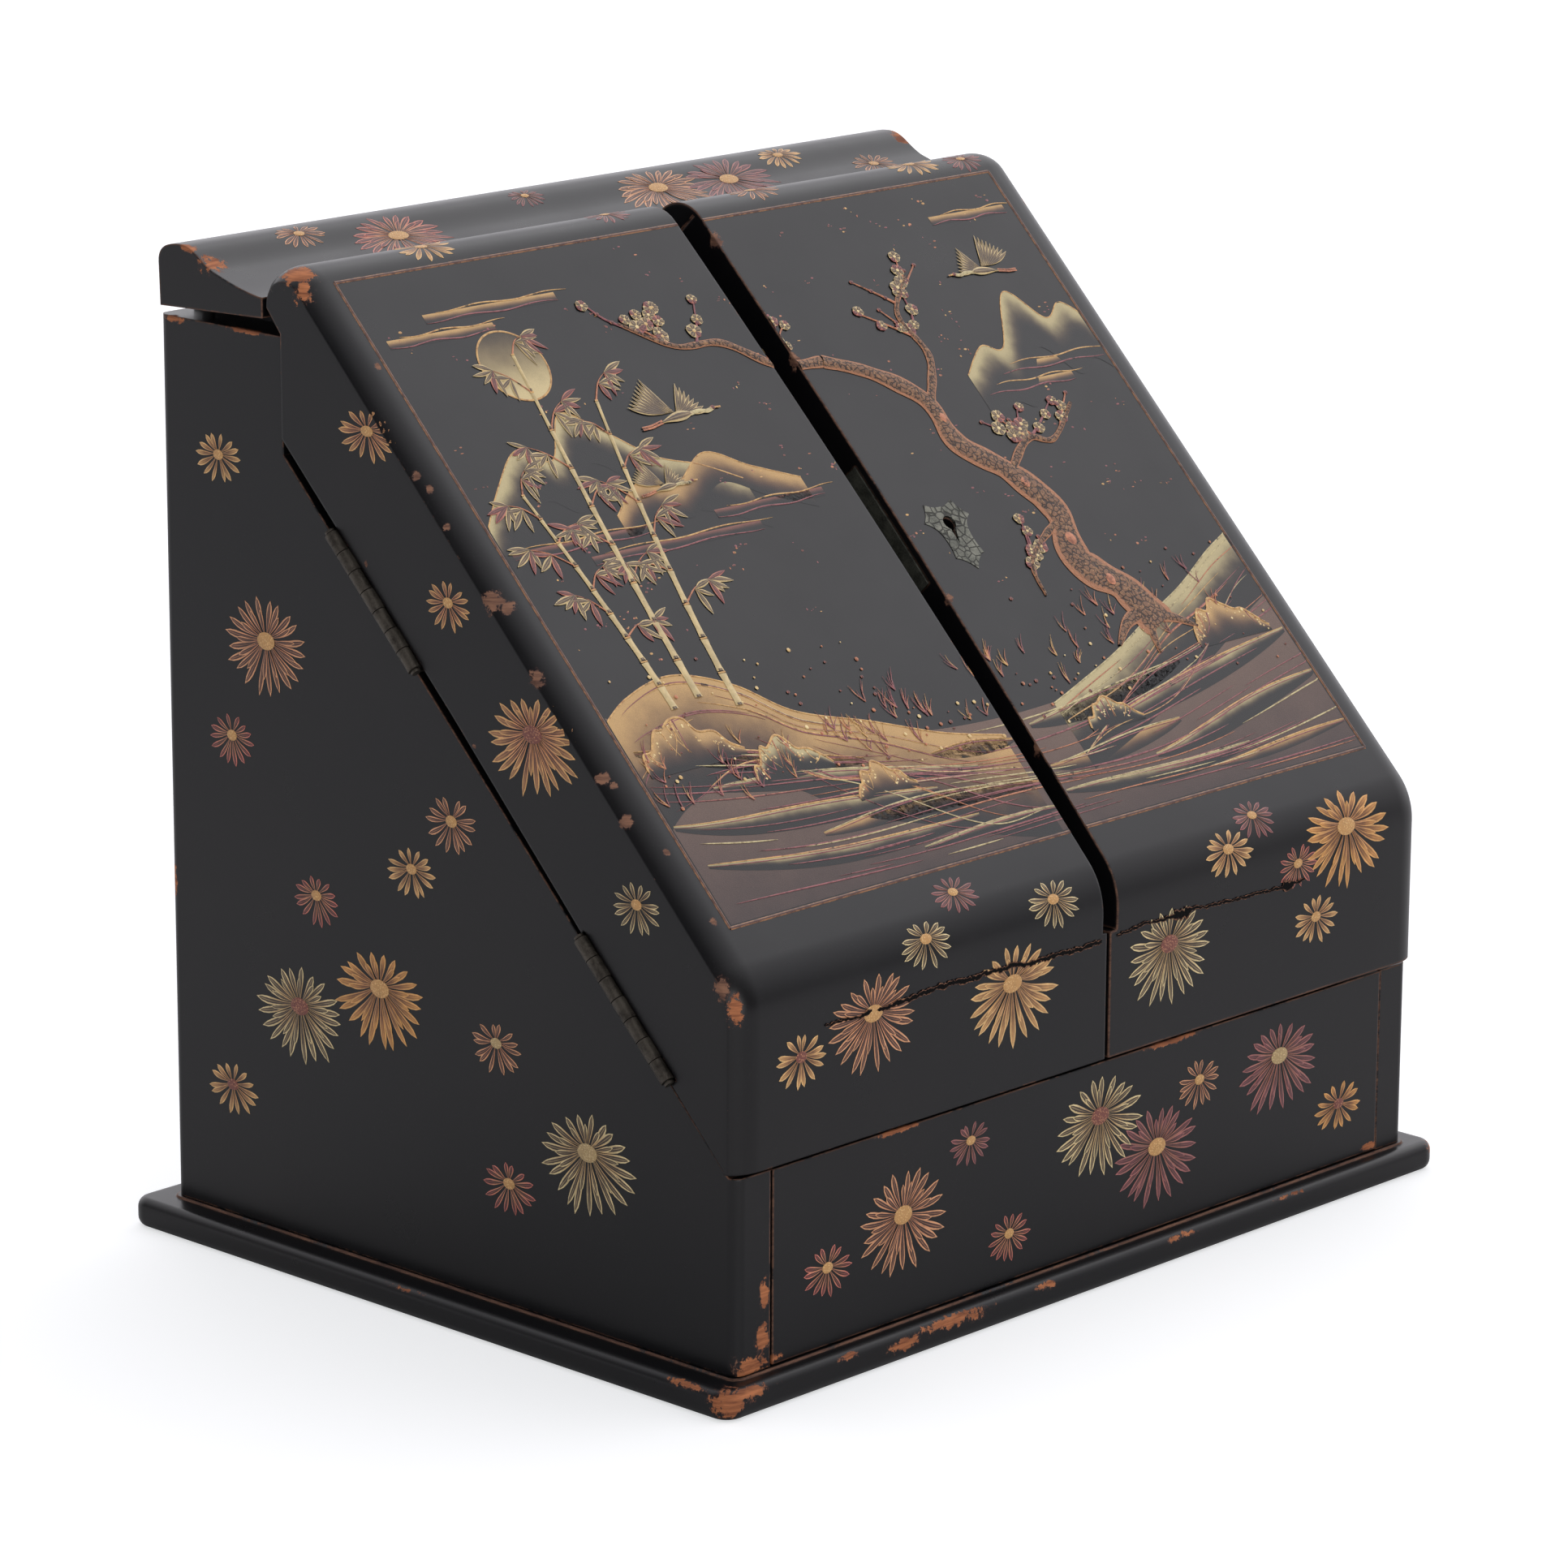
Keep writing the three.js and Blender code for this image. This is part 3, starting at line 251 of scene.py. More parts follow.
# Every board gets smooth round stretches; its vertices stay where they are
def smooth_group():
    group = bpy.data.node_groups.new("smooth_rounds", "GeometryNodeTree")
    for way in ("INPUT", "OUTPUT"):
        group.interface.new_socket("Geometry", in_out=way, socket_type="NodeSocketGeometry")
    graph = Graph(group)
    start = graph.node("NodeGroupInput").outputs[0]
    weld = graph.node("GeometryNodeMergeByDistance", {"Geometry": start, "Distance": 1e-6})
    angle = graph.node("GeometryNodeInputMeshEdgeAngle").outputs["Unsigned Angle"]
    widest = math.radians(24.0)
    sharp = graph.node("FunctionNodeCompare", {0: angle, 1: widest}, operation="GREATER_THAN")
    faces = graph.node("GeometryNodeSetShadeSmooth", {"Geometry": weld.outputs[0]})
    inputs = {"Geometry": faces.outputs[0], "Selection": sharp.outputs[0], "Shade Smooth": False}
    edges = graph.node("GeometryNodeSetShadeSmooth", inputs, domain="EDGE")
    graph.node("NodeGroupOutput", {0: edges.outputs[0]})
    return group


smoothing = smooth_group()


def smooth(piece):
    piece.modifiers.new("smooth_rounds", "NODES").node_group = smoothing


def dress(name, material):
    piece = nodes[name]
    piece.data.materials.clear()
    piece.data.materials.append(material)
    smooth(piece)
    weights = piece.modifiers.new("flat_faces_lead", "WEIGHTED_NORMAL")
    weights.keep_sharp = True
    weights.weight = 100


# Surfaces that carry ornament, in mm: x across, depth forward from the back of the case, height up.
# side is -1 for the left and 1 for the right.
SIDES = {-1: "left", 1: "right"}
CASE_BACK = 126.25
CASE_HALF = 164.5
APRON_FACE = 258.6
DRAWER_FACE = 256.5
DOOR_FOOT = 75.5
CORNER_RADIUS = 24.0
CORNER_FOOT = 123.21
CORNER_AXIS = APRON_FACE - CORNER_RADIUS
LEAN = math.radians(44.3972)
CORNER_RUN = CORNER_RADIUS * LEAN
SLOPE_RUN = 258.65
ROLL_RADIUS = 12.3
ROLL_AXIS_DEPTH = 62.0
ROLL_AXIS_HEIGHT = 316.2
ROLL_END = math.radians(139.6)
ROLL_START_RUN = CORNER_RUN + SLOPE_RUN
DOOR_HALF = 166.5
ARRIS_START = 156.0
ARRIS_ROUND = 12.0
ARRIS_DROP = 8.0
SLOPE_SHIFT = CORNER_RUN - CORNER_RADIUS * math.tan(LEAN / 2.0)
MEETING_LINE = 4.8
APRON_TOP = 117.5
SLOPE_FOOT = 133.0
APRON_GAP = 2.0
SLOPE_GAPS = (6.8, 10.0, 12.0)
SLOPE_GAP_BOW = 3.6
SLOPE_GAP_RUN = SLOPE_RUN + 10.0 + ROLL_RADIUS + CORNER_RADIUS
COAT = 0.1
PAINT = 0.03


def at(x, depth, height):
    return Vector((x, CASE_BACK - depth, height)) * MM


def door_profile(run):
    """Depth, height and outward direction of the doors' front, run mm up from the corner round's foot."""
    if run <= 0.0:
        return APRON_FACE, CORNER_FOOT + run, 1.0, 0.0
    turn = min(run / CORNER_RADIUS, LEAN)
    depth = CORNER_AXIS + CORNER_RADIUS * math.cos(turn)
    height = CORNER_FOOT + CORNER_RADIUS * math.sin(turn)
    if run > CORNER_RUN:
        climb = min(run - CORNER_RUN, SLOPE_RUN)
        depth -= climb * math.sin(LEAN)
        height += climb * math.cos(LEAN)
    if run > ROLL_START_RUN:
        turn = LEAN + (run - ROLL_START_RUN) / ROLL_RADIUS
        depth = ROLL_AXIS_DEPTH + ROLL_RADIUS * math.cos(turn)
        height = ROLL_AXIS_HEIGHT + ROLL_RADIUS * math.sin(turn)
    return depth, height, math.cos(turn), math.sin(turn)


# A point of the slope's plane and its outward direction
SLOPE_PLANE = door_profile(CORNER_RUN + 1.0)


def arris_drop(x):
    over = min(max(abs(x) - ARRIS_START, 0.0), DOOR_HALF - ARRIS_START)
    return ARRIS_DROP * (1.0 - math.sqrt(1.0 - (over / ARRIS_ROUND) ** 2))


def door_front(x, run, lift=0.0):
    depth, height, out_depth, out_height = door_profile(run)
    rise = lift - arris_drop(x)
    return at(x, depth + out_depth * rise, height + out_height * rise)


def slope_front(x, rise, lift=0.0):
    """A point on the slope boards, rise mm up from the line where the slope and apron planes meet."""
    return door_front(x, rise + SLOPE_SHIFT, lift)


def side_board(side, depth, height, lift=0.0):
    return at(side * (CASE_HALF + lift), depth, height)


def cheek(side, depth, height, lift=0.0):
    """A point on the side of a door, drawn in where the side rounds over to the slope."""
    slope_depth, slope_height, out_depth, out_height = SLOPE_PLANE
    below = (slope_depth - depth) * out_depth + (slope_height - height) * out_height
    x = DOOR_HALF
    if below < ARRIS_DROP:
        across = ARRIS_ROUND * math.sqrt(1.0 - (1.0 - max(below, 0.0) / ARRIS_DROP) ** 2)
        x = min(x, ARRIS_START + across)
    return at(side * (x + lift), depth, height)


def cheek_limits(height):
    slope_depth, slope_height, out_depth, out_height = SLOPE_PLANE
    return 0.0, slope_depth - (0.5 + (height - slope_height) * out_height) / out_depth


def drawer_face(x, height, lift=0.0):
    return at(x, DRAWER_FACE + lift, height)


def between(first, second, share):
    """The place at a share of the way from first to second."""
    return tuple(start + (end - start) * share for start, end in zip(first, second))


def straight(first, second, count):
    return [between(first, second, step / count) for step in range(count + 1)]


def bezier(first, second, third, fourth, steps):
    curve = []
    for step in range(steps + 1):
        share = step / steps
        rest = 1.0 - share
        weights = (rest ** 3, 3 * share * rest * rest, 3 * share * share * rest, share ** 3)
        curve.append(tuple(
            sum(weight * point[axis] for weight, point in zip(weights, (first, second, third, fourth)))
            for axis in (0, 1)
        ))
    return curve


def flap_profile():
    ridge_depth = 13.7
    ridge = 330.5
    run = 38.2
    drop = 12.3
    shares = ((0.17, 0.0), (0.23, 0.34), (0.4, 0.56), (0.61, 0.77), (0.82, 0.955), (1.0, 1.0))
    ogee = [(ridge_depth + along * run, ridge - down * drop) for along, down in shares]
    shoulder = bezier((ridge_depth, ridge), ogee[0], ogee[1], ogee[2], 14)
    cove = bezier(ogee[2], ogee[3], ogee[4], ogee[5], 16)
    return shoulder + cove[1:]


FLAP = flap_profile()
FLAP_RUNS = [0.0]
for before, after in zip(FLAP, FLAP[1:]):
    FLAP_RUNS.append(FLAP_RUNS[-1] + math.dist(before, after))


def flap_top(x, run, lift=0.0):
    """A point on the flap, run mm down its moulding from the ridge."""
    run = min(max(run, 0.01), FLAP_RUNS[-1] - 0.01)
    index = next(place for place, end in enumerate(FLAP_RUNS) if end > run)
    share = (run - FLAP_RUNS[index - 1]) / (FLAP_RUNS[index] - FLAP_RUNS[index - 1])
    (depth_0, height_0), (depth_1, height_1) = FLAP[index - 1], FLAP[index]
    length = math.dist(FLAP[index - 1], FLAP[index])
    out_depth = (height_0 - height_1) / length
    out_height = (depth_1 - depth_0) / length
    depth = depth_0 + share * (depth_1 - depth_0) + out_depth * lift
    height = height_0 + share * (height_1 - height_0) + out_height * lift
    return at(x, depth, height)


def meeting_edge(side, run):
    """x of a door's meeting edge: a narrow gap between the aprons, a wider one between the slope boards."""
    if run < APRON_TOP - CORNER_FOOT:
        return MEETING_LINE + side * APRON_GAP / 2.0
    depth, height, _, _ = door_profile(run)
    rise = (APRON_FACE - depth) * math.sin(LEAN) + (height - SLOPE_FOOT) * math.cos(LEAN)
    share = (rise + CORNER_RADIUS) / SLOPE_GAP_RUN
    bow = 4.0 * share * (1.0 - share)
    foot, middle, top = SLOPE_GAPS
    gap = foot * 2.0 * (share - 0.5) * (share - 1.0) + middle * bow + top * 2.0 * share * (share - 0.5)
    return MEETING_LINE + SLOPE_GAP_BOW * bow + side * gap / 2.0


def add_mesh(name, points, faces, materials, body, uvs=None, indices=None):
    mesh = bpy.data.meshes.new(name)
    mesh.from_pydata(points, [], faces)
    for material in materials:
        mesh.materials.append(material)
    if uvs:
        layer = mesh.uv_layers.new(name="UVMap")
        for loop in mesh.loops:
            layer.data[loop.index].uv = uvs[loop.vertex_index]
    if indices:
        mesh.polygons.foreach_set("material_index", indices)
    mesh.shade_smooth()
    piece = bpy.data.objects.new(name, mesh)
    bpy.context.scene.collection.objects.link(piece)
    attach(piece, body)
    return piece


def grid_faces(rows, columns, flip=False):
    faces = []
    for row in range(rows - 1):
        for column in range(columns - 1):
            corner = row * columns + column
            face = (corner, corner + 1, corner + columns + 1, corner + columns)
            faces.append(face[::-1] if flip else face)
    return faces


# The keyhole in the right door: its round, and a window in the coat a little wider than the hole
KEYHOLE_RUN = 138.0 + SLOPE_SHIFT
KEYHOLE_FROM_EDGE = 21.0
KEYHOLE_ACROSS = meeting_edge(1, KEYHOLE_RUN) + KEYHOLE_FROM_EDGE
KEYHOLE_WINDOW = (KEYHOLE_ACROSS - 3.6, KEYHOLE_ACROSS + 3.6, KEYHOLE_RUN - 10.0, KEYHOLE_RUN + 3.8)


# The coat of lacquer over the boards of each door, with its turned-in edges
def door_coat(side, material):
    skirt = 1.6
    low_x, high_x, low_run, high_run = KEYHOLE_WINDOW
    runs = [DOOR_FOOT - CORNER_FOOT + step * (APRON_TOP - 0.1 - DOOR_FOOT) / 6 for step in range(7)]
    runs += [APRON_TOP + 0.1 - CORNER_FOOT, -3.0]
    runs += [CORNER_RUN * step / 12 for step in range(13)]
    runs += [CORNER_RUN + SLOPE_RUN * step / 30 for step in range(1, 31)]
    roll_length = ROLL_RADIUS * (ROLL_END - LEAN)
    runs += [ROLL_START_RUN + roll_length * step / 20 for step in range(1, 21)]
    runs = sorted(runs + [low_run, high_run])
    lines = [(runs[0], -skirt)] + [(run, COAT) for run in runs] + [(runs[-1] + 0.6, -skirt)]
    rounds = [side * (ARRIS_START + (DOOR_HALF - ARRIS_START) * step / 10) for step in range(1, 11)]
    points = []
    for run, lift in lines:
        edge = meeting_edge(side, run) - side * 0.05
        flat = [edge + (side * ARRIS_START - edge) * step / 10 for step in range(11)]
        flat = sorted(flat + [side * low_x, side * high_x], key=abs)
        spots = [(edge, -skirt)] + [(x, lift) for x in flat + rounds] + [(side * (DOOR_HALF + 0.04), -skirt)]
        points += [door_front(x, run, min(lift, level)) for x, level in spots]
    columns = len(spots)

    def covered(face):
        row = min(face) // columns
        middle = (points[min(face)][0] + points[min(face) + 1][0]) / 2.0 / MM
        return not (low_run <= lines[row][0] < high_run and low_x < middle < high_x)

    faces = [face for face in grid_faces(len(lines), columns, flip=side > 0) if side < 0 or covered(face)]
    word = SIDES[side]
    smooth(add_mesh(f"{word}_door_coat", points, faces, [material], f"{word}_door"))


def stroke_row(x, y, dx, dy, width, lift, crown, along):
    """Places across a stroke that runs towards (dx, dy), the middle raised by its crown."""
    length = max(math.hypot(dx, dy), 1e-6)
    row = []
    for place in (-1.0, -0.5, 0.0, 0.5, 1.0):
        across = x - dy / length * width * place
        up = y + dx / length * width * place
        row.append((across, up, lift + crown * (1.0 - place * place), place / 2 + 0.5, along))
    return row


class Ornament:
    """Painted ornament on one surface, gathered into one piece. Places are (across, up, lift) in mm."""

    def __init__(self, surface, base_lift=PAINT, limits=None):
        self.surface = surface
        self.base_lift = base_lift
        self.limits = limits
        self.points = []
        self.faces = []
        self.uvs = []
        self.indices = []

    def grid(self, rows, paint):
        """rows of (across, up, lift, u, v) as one sheet; what lies beyond the limits is left out."""
        start = len(self.points)
        kept = []
        for across, up, lift, u, v in (place for row in rows for place in row):
            inside = True
            if self.limits:
                low, high = self.limits(up)
                inside = low < across < high
                across = min(max(across, low), high)
            self.points.append(self.surface(across, up, self.base_lift + lift))
            self.uvs.append((u, v))
            kept.append(inside)
        for face in grid_faces(len(rows), len(rows[0])):
            if any(kept[corner] for corner in face):
                self.faces.append([start + corner for corner in face])
                self.indices.append(paint)

    def leaf(self, base, tip, half, paint, bend, lift, widest, crown=0.08, steps=7):
        """A pointed petal or leaf; u runs across from 0 to 1 and v along it."""
        run_x = tip[0] - base[0]
        run_y = tip[1] - base[1]
        middle = (base[0] + run_x / 2 - run_y * bend, base[1] + run_y / 2 + run_x * bend)
        rows = []
        for step in range(steps + 1):
            share = step / steps
            rest = 1.0 - share
            (x, dx), (y, dy) = (
                (rest * rest * start + 2 * share * rest * bow + share * share * end,
                 2 * rest * (bow - start) + 2 * share * (end - bow))
                for start, bow, end in zip(base, middle, tip)
            )
            if share < widest:
                width = 0.16 + 0.84 * math.sin(share / widest * math.pi / 2) ** 1.5
            else:
                width = max(1.0 - ((share - widest) / (1.0 - widest)) ** 2.2, 0.02)
            rows.append(stroke_row(x, y, dx, dy, width * half, lift, crown, share))
        self.grid(rows, paint)

    def ribbon(self, line, widths, paint, lift, crown):
        """A stroke along a line of places; u runs across from 0 to 1 and v along it in mm."""
        rows = []
        travelled = 0.0
        last = len(line) - 1
        for index, (x, y) in enumerate(line):
            before = line[max(index - 1, 0)]
            after = line[min(index + 1, last)]
            if index:
                travelled += math.dist(before, (x, y))
            width = widths(index / last) if callable(widths) else widths
            dx = after[0] - before[0]
            dy = after[1] - before[1]
            rows.append(stroke_row(x, y, dx, dy, width, lift, crown, travelled))
        self.grid(rows, paint)

    def disc(self, centre, radii, paint, lift, dome, sides=20):
        """A low dome; u and v run across it."""
        rings = 4
        rows = []
        for ring in range(rings + 1):
            share = 1.0 - ring / rings
            height = lift + dome * math.sqrt(1.0 - share * share)
            share = max(share, 0.02)
            row = []
            for side in range(sides + 1):
                x = math.cos(math.tau * side / sides) * share
                y = math.sin(math.tau * side / sides) * share
                spot = (centre[0] + radii[0] * x, centre[1] + radii[1] * y)
                row.append((*spot, height, x / 2 + 0.5, y / 2 + 0.5))
            rows.append(row)
        self.grid(rows, paint)

    def band(self, top, bottom, paint, lift, steps=6, crown=0.0):
        """The field between two lines of equal count; u runs along in mm and v down from 0 to 1."""
        rows = []
        for step in range(steps + 1):
            share = step / steps
            rise = lift + crown * 4.0 * share * (1.0 - share)
            rows.append([
                (x0 + (x1 - x0) * share, y0 + (y1 - y0) * share, rise, x0, share)
                for (x0, y0), (x1, y1) in zip(top, bottom)
            ])
        self.grid(rows, paint)

    def piece(self, name, materials, body, slot="lacquer"):
        if self.faces:
            add_mesh(name, self.points, self.faces, materials, body, self.uvs, self.indices)


# Metal, bare wood and the plain lacquer of the inside
def metal(name, tone, dark, roughness=0.45, engraved=False):
    graph = Paint(name)
    cloud = graph.noise(180.0, 4.0, 0.65)
    grain = graph.noise(1500.0, 3.0, 0.6)
    share = graph.times(grain, 0.35, graph.times(cloud, 0.8))
    colour = graph.blend(graph.step(share, 0.38, 0.72), dark, tone)
    height = grain
    if engraved:
        cut = graph.step(graph.cells(330.0, "DISTANCE_TO_EDGE"), 0.1, 0.03)
        colour = graph.blend(graph.times(cut, 0.8), colour, (0.02, 0.02, 0.018))
        height = graph.times(cut, -1.5, grain)
    return graph.finish(colour, roughness, height, 0.5, Metallic=0.75)


def bare_wood(name):
    graph = Paint(name)
    figure = graph.noise((90.0, 9.0, 90.0), 5.0, 0.6)
    pores = graph.noise((1500.0, 60.0, 1500.0), 3.0, 0.6)
    colour = graph.blend(graph.step(figure, 0.3, 0.7), srgb(112, 74, 48), srgb(158, 112, 74))
    colour = graph.blend(graph.step(pores, 0.6, 0.75, 0.0, 0.6), colour, srgb(84, 54, 36))
    return graph.finish(colour, 0.62, pores, 0.4, 0.4)


# Chips in mm: across and run on a door's front, or across, depth and height; then three radii
def chip(*sizes):
    place = sizes[:-3]
    if len(place) == 2:
        return tuple(door_front(*place) / MM), sizes[-3:]
    return (place[0], CASE_BACK - place[1], place[2]), sizes[-3:]


left_door_chips = [
    chip(-162.4, 284.5, 3.8, 5.2, 5.6), chip(-164.6, 277.0, 2.4, 3.0, 5.0),
    chip(-157.0, 244.0, 1.0, 1.2, 1.4), chip(-165.0, 204.5, 1.2, 1.4, 1.8),
    chip(-163.8, 198.8, 1.1, 1.2, 1.5), chip(-165.2, 185.2, 0.9, 1.0, 1.4),
    chip(-164.8, 156.4, 3.4, 3.2, 3.4), chip(-162.4, 152.8, 3.2, 2.0, 2.0),
    chip(-165.4, 128.0, 2.0, 2.2, 2.8), chip(-164.9, 89.5, 2.0, 2.0, 2.2),
    chip(-163.2, 86.4, 1.4, 1.2, 1.2), chip(-165.2, 74.1, 2.0, 1.8, 2.0),
    chip(-166.2, 13.4, 2.6, 2.4, 3.4), chip(-164.4, 4.6, 2.2, 2.4, 4.4),
    chip(-160.0, 60.0, 0.9, 1.0, 1.0), chip(-158.4, 34.0, 1.1, 1.0, 1.4),
    chip(-166.5, 98.0, 240.0, 0.8, 0.8, 1.2), chip(-166.5, 146.0, 190.0, 0.8, 0.7, 0.7),
]
right_door_chips = [
    chip(12.0, 268.0, 2.2, 2.4, 3.0), chip(13.6, 218.0, 1.6, 1.8, 3.2),
    chip(14.2, 120.0, 1.4, 1.4, 2.6), chip(12.4, 62.0, 1.6, 1.6, 3.6),
    chip(165.0, 262.0, 2.0, 2.0, 3.0), chip(165.4, 110.0, 1.4, 1.6, 2.4),
]
flap_chips = [
    chip(-163.8, 26.5, 326.5, 4.6, 4.4, 3.6), chip(-166.2, 18.0, 330.0, 2.2, 4.4, 1.4),
    chip(166.0, 20.0, 329.0, 3.0, 5.0, 2.5),
]
plinth_chips = [
    chip(-174.0, 262.4, 6.4, 6.6, 6.0, 4.4), chip(-166.0, 263.4, 8.8, 8.0, 1.8, 2.6),
    chip(-175.0, 246.0, 9.0, 1.4, 7.0, 1.4), chip(174.2, 262.0, 8.0, 4.0, 4.0, 3.0),
    chip(-72.0, 263.6, 8.4, 14.0, 1.4, 2.6), chip(-96.0, 263.6, 6.0, 6.0, 1.2, 2.0),
    chip(-28.0, 263.6, 8.6, 5.0, 1.2, 1.6), chip(40.0, 263.6, 8.6, 7.0, 1.2, 1.4),
    chip(96.0, 263.4, 9.2, 9.0, 1.0, 1.0), chip(-120.0, 263.6, 8.8, 5.0, 1.2, 1.4),
    chip(-175.4, 120.0, 9.4, 1.2, 9.0, 1.0),
]
case_chips = [
    chip(-164.5, 8.0, 305.8, 1.6, 4.0, 1.2), chip(-164.3, 42.0, 306.2, 1.4, 9.0, 1.0),
    chip(-152.0, 256.4, 34.5, 1.9, 1.6, 4.4), chip(-153.0, 256.4, 21.0, 3.0, 1.6, 4.4),
    chip(-158.0, 256.4, 12.6, 6.6, 1.8, 3.0), chip(-164.2, 256.0, 48.0, 0.9, 1.0, 2.4),
    chip(-164.4, 256.3, 14.0, 1.8, 2.0, 3.0), chip(-164.5, 2.0, 120.0, 0.8, 1.4, 6.0),
]
drawer_chips = [
    chip(-149.0, 256.4, 13.0, 4.0, 1.2, 1.6), chip(-92.0, 256.4, 73.2, 9.0, 1.0, 1.0),
    chip(40.0, 256.4, 73.2, 12.0, 1.0, 1.1), chip(146.0, 256.4, 12.6, 4.0, 1.0, 1.2),
]

LOCK_TONES = ((0.2, 0.2, 0.165), (0.075, 0.078, 0.066))
finishes = {
    "lacquer": lacquer("lacquer_plain", edge_wear=0.5),
    "inner_lacquer": lacquer("lacquer_inner", tone=2.2, edge_wear=0.7, roughness=0.42),
    "bare_wood": bare_wood("bare_wood"),
    "hinge_brass": metal("hinge_brass", (0.105, 0.092, 0.075), (0.04, 0.034, 0.028)),
    "lock_metal": metal("lock_metal", *LOCK_TONES, 0.5),
}
left_door_lacquer = lacquer("lacquer_left_door", left_door_chips, edge_wear=0.42)
right_door_lacquer = lacquer("lacquer_right_door", right_door_chips, edge_wear=0.85, edge_radius=1.4)
case_lacquer = lacquer("lacquer_case", case_chips, edge_wear=0.7)
chipped = {
    "lid": lacquer("lacquer_flap", flap_chips, edge_wear=0.8),
    "plinth": lacquer("lacquer_plinth", plinth_chips, edge_wear=0.85, edge_radius=1.3),
    "left_side_panel": case_lacquer,
    "right_side_panel": case_lacquer,
    "drawer_front": lacquer("lacquer_drawer", drawer_chips, edge_wear=0.75),
    "escutcheon": metal("lock_plate", *LOCK_TONES, 0.5, engraved=True),
}
for board in ("cheek", "slope_panel", "apron", "top_rail"):
    chipped[f"left_door_{board}"] = left_door_lacquer
    chipped[f"right_door_{board}"] = right_door_lacquer
for entry in frame["record"]["subparts"]:
    name = entry["node"]
    dress(name, chipped.get(name, finishes[entry["material_slot"]]))
door_coat(-1, left_door_lacquer)
door_coat(1, right_door_lacquer)


# Gold and red lacquer of the ornament. A petal has a raised outline, a vein and a darker field.
def petal_paint(name, line_base, line_tip, field_base, field_tip):
    graph = Paint(name)
    across, along = graph.strip()
    wear = graph.noise(900.0, 4.0, 0.7)
    patchy = graph.noise(240.0, 3.0, 0.6)
    rim = graph.step(graph.times(wear, 0.3, graph.less(across, 0.15)), 0.51, 0.61)
    vein = graph.step(across, 0.16, 0.08, 0.0, 0.35)
    tip = graph.step(along, 0.9, 0.96)
    lines = graph.most(rim, graph.most(vein, tip))
    line = graph.blend(graph.step(along, 0.3, 0.9), srgb(*line_base), srgb(*line_tip))
    field = graph.blend(graph.step(along, 0.35, 0.95), srgb(*field_base), srgb(*field_tip))
    inputs = {0: graph.blend(lines, field, line), "Scale": graph.step(patchy, 0.3, 0.75, 0.78, 1.12)}
    colour = graph.node("ShaderNodeVectorMath", inputs, operation="SCALE").outputs[0]
    colour = graph.blend(graph.step(wear, 0.66, 0.74, 0.0, 0.75), colour, (0.03, 0.022, 0.022))
    return graph.finish(colour, 0.42, graph.times(lines, 0.5, graph.times(wear, 0.3)))


def dotted_paint(name, ground, dots):
    """The heart of a flower: a disc of small raised dots."""
    graph = Paint(name)
    dot = graph.step(graph.cells(1500.0), 0.5, 0.2)
    patchy = graph.noise(300.0, 3.0, 0.6)
    dark = tuple(value * 0.72 for value in srgb(*ground))
    colour = graph.blend(dot, srgb(*ground), srgb(*dots))
    colour = graph.blend(graph.step(patchy, 0.5, 0.75, 0.0, 0.6), colour, dark)
    return graph.finish(colour, 0.45, dot, 0.5)


# Outline at the base and the tip of a petal, then its field at the base and the tip
PETAL_TONES = {
    "gold": ((204, 154, 102), (244, 200, 136), (122, 84, 58), (206, 154, 98)),
    "pale": ((196, 162, 114), (238, 216, 162), (46, 36, 34), (96, 78, 60)),
    "copper": ((206, 142, 104), (234, 172, 126), (48, 32, 32), (92, 56, 48)),
    "red": ((208, 142, 106), (212, 124, 108), (54, 34, 34), (90, 46, 48)),
    "mauve": ((170, 112, 94), (176, 112, 108), (70, 42, 44), (104, 60, 64)),
    "orange": ((200, 144, 90), (238, 180, 108), (112, 70, 46), (206, 144, 80)),
    "tipped": ((222, 156, 108), (232, 182, 118), (92, 56, 46), (176, 124, 84)),
}
HEART_TONES = {
    "gold": ((206, 156, 98), (236, 194, 132)),
    "red": ((128, 74, 64), (196, 138, 102)),
    "pale": ((186, 158, 112), (226, 202, 150)),
}
PETALS = {name: petal_paint(f"petal_{name}", *tones) for name, tones in PETAL_TONES.items()}
HEARTS = {name: dotted_paint(f"heart_{name}", *tones) for name, tones in HEART_TONES.items()}

LARGE_FLOWER = 14.5
# Rings of petals: count, length, turn, half width as a share of their spacing, lift
LARGE_RINGS = ((21, 1.0, 0.0, 0.215, 0.0), (13, 0.66, 0.5, 0.17, 0.09))
SMALL_RINGS = ((14, 1.0, 0.0, 0.2, 0.0),)


